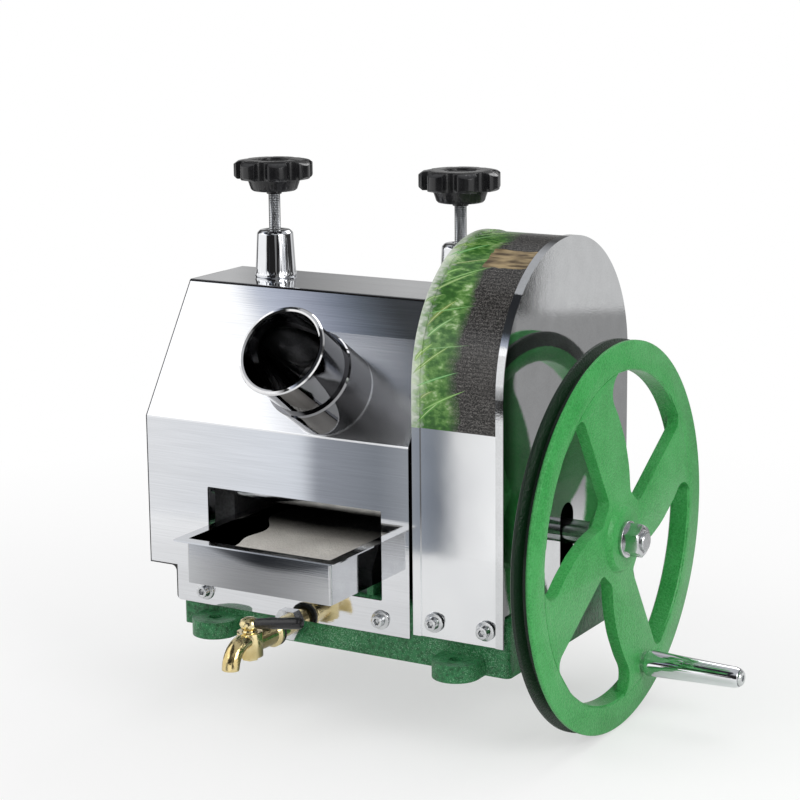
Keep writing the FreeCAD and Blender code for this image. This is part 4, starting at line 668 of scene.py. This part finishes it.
# Star knobs and the tap's lever: black phenolic, moulded and glossy. The knobs sit on the tops of the press
# screws, and the lever is screwed into the head of the tap's plug.
def black_phenolic():
    material, wire = new_finish("black_phenolic")
    flow = noise(wire, 80, 3.0)
    colour = ramp(flow, (0.3, (0.007, 0.007, 0.008)), (0.7, (0.016, 0.016, 0.017)))
    return coat_of(material, wire, colour, flow * 0.06 + 0.20, 0.0, bumps(flow, 0.0002), Coat_Weight=0.2,
                   Specular_IOR_Level=0.35)


phenolic = black_phenolic()
for node in ("left_star_knob", "right_star_knob"):
    finished_copy(node, phenolic, 0.0018, 4, 60)
finished_copy("tap_lever", phenolic, 0.0006, 2, 50)


# Strainer: a thin plate of very fine perforated stainless over the tray's well, matt and a little wavy. A skin
# of dried juice turns it beige. Its folded side edges, which the tray hides, aren't made.
def strainer_plate():
    material, wire = new_finish("strainer_plate")
    holes = cells(wire, 750)
    stain = noise(wire, 25, 5.0)
    spots = ramp(holes, (0.15, 0.55), (0.55, 1.0))
    colour = blend(ramp(stain, (0.3, 0.0), (0.7, 1.0)), (0.68, 0.65, 0.60), (0.88, 0.85, 0.79))
    colour = blend(spots, (0.32, 0.30, 0.27), colour)
    y = along_axes(wire)[1]
    # Painted shade: the plate's colour fades to near black where it runs in under the cover.
    mouth_y = -0.095
    shade_under_cover = (y - mouth_y + stain * 0.02) / 0.04
    colour = blend(ramp(shade_under_cover, (0.0, 0.0), (1.0, 1.0)), colour, (0.012, 0.012, 0.011))
    return coat_of(material, wire, colour, 0.55, 0.25, bumps(holes + stain * 0.8, 0.0006))


def wavy_strainer():
    low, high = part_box("strainer_screen")
    columns, rows = 44, 60
    margin = 0.0004
    bpy.ops.mesh.primitive_grid_add(x_subdivisions=columns, y_subdivisions=rows, size=1)
    strainer = bpy.context.object
    strainer.name = "strainer_plate"
    for vertex in strainer.data.vertices:
        across = vertex.co.x + 0.5
        along = vertex.co.y + 0.5
        left = low.x + 0.014 + 0.004 * math.sin(along * 17) + 0.012 * math.sin(along * 5.2 + 0.4)
        x = left + (high.x - margin - left) * across
        y = low.y + margin + (high.y - low.y - 2 * margin) * along
        wave = 0.5 + 0.25 * math.sin(across * 9 + along * 6) + 0.25 * math.sin(along * 21 - across * 4)
        vertex.co = (x, y, high.z - 0.0009 - 0.0012 * wave)
    select_only(strainer)
    thickness = strainer.modifiers.new("thickness", "SOLIDIFY")
    thickness.thickness = 0.0008
    thickness.offset = -1
    bpy.ops.object.modifier_apply(modifier="thickness")
    bpy.ops.object.shade_smooth_by_angle(angle=math.radians(40))
    strainer.data.materials.append(strainer_plate())
    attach(strainer, frame["nodes"]["strainer_screen"]["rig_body"])
    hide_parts("strainer_screen")


wavy_strainer()


# Tap: cast yellow brass, turned and buffed, on a black rubber gasket. Its pipe comes through the base.
def yellow_brass():
    material, wire = new_finish("yellow_brass")
    cast = noise(wire, 260, 3.0)
    tarnish = noise(wire, 45, 4.0)
    colour = ramp(tarnish, (0.3, (0.62, 0.47, 0.19)), (0.7, (0.90, 0.78, 0.46)))
    return coat_of(material, wire, colour, cast * 0.1 + tarnish * 0.1 + 0.06, 1.0, bumps(cast, 0.0002))


brass = yellow_brass()
dress(["outlet_pipe"], brass)
for node in ("tap_body", "tap_plug", "tap_bottom_nut"):
    finished_copy(node, brass, 0.0005, 2, 45)


def black_rubber():
    material, wire = new_finish("black_rubber")
    grain = noise(wire, 1200, 3.0)
    colour = ramp(grain, (0.3, (0.012, 0.012, 0.012)), (0.7, (0.035, 0.035, 0.035)))
    return coat_of(material, wire, colour, grain * 0.2 + 0.5, 0.0, bumps(grain, 0.00006))


dress(["tap_gasket"], black_rubber())


# Handwheel: a second iron casting, rim, four curved spokes and hub in one, in a brighter green enamel with
# a finer fleck. Its edges keep the soft look of the sand mould.
def painted_groove_shade(x, y, z):
    """Painted shade on the belt groove and the flange behind it, where the enamel colour is darkened."""
    shaft_y, shaft_z = -0.012, 0.095
    groove_foot = 0.148
    outer_face = 0.1935
    along = y - shaft_y
    up = z - shaft_z
    return (x < outer_face) * (up * up + along * along > groove_foot ** 2)


# The wheel's belt groove and rear flange carry painted shade.
wheel_enamel = hammertone("wheel_enamel", ground=(0.014, 0.225, 0.036), pool=(0.046, 0.350, 0.078),
                          fleck=(0.26, 0.62, 0.32), pool_size=600, fleck_share=0.35, roughness=0.24,
                          painted_shade_mask=painted_groove_shade)
finished_copy("handwheel", wheel_enamel, 0.0012, 3)
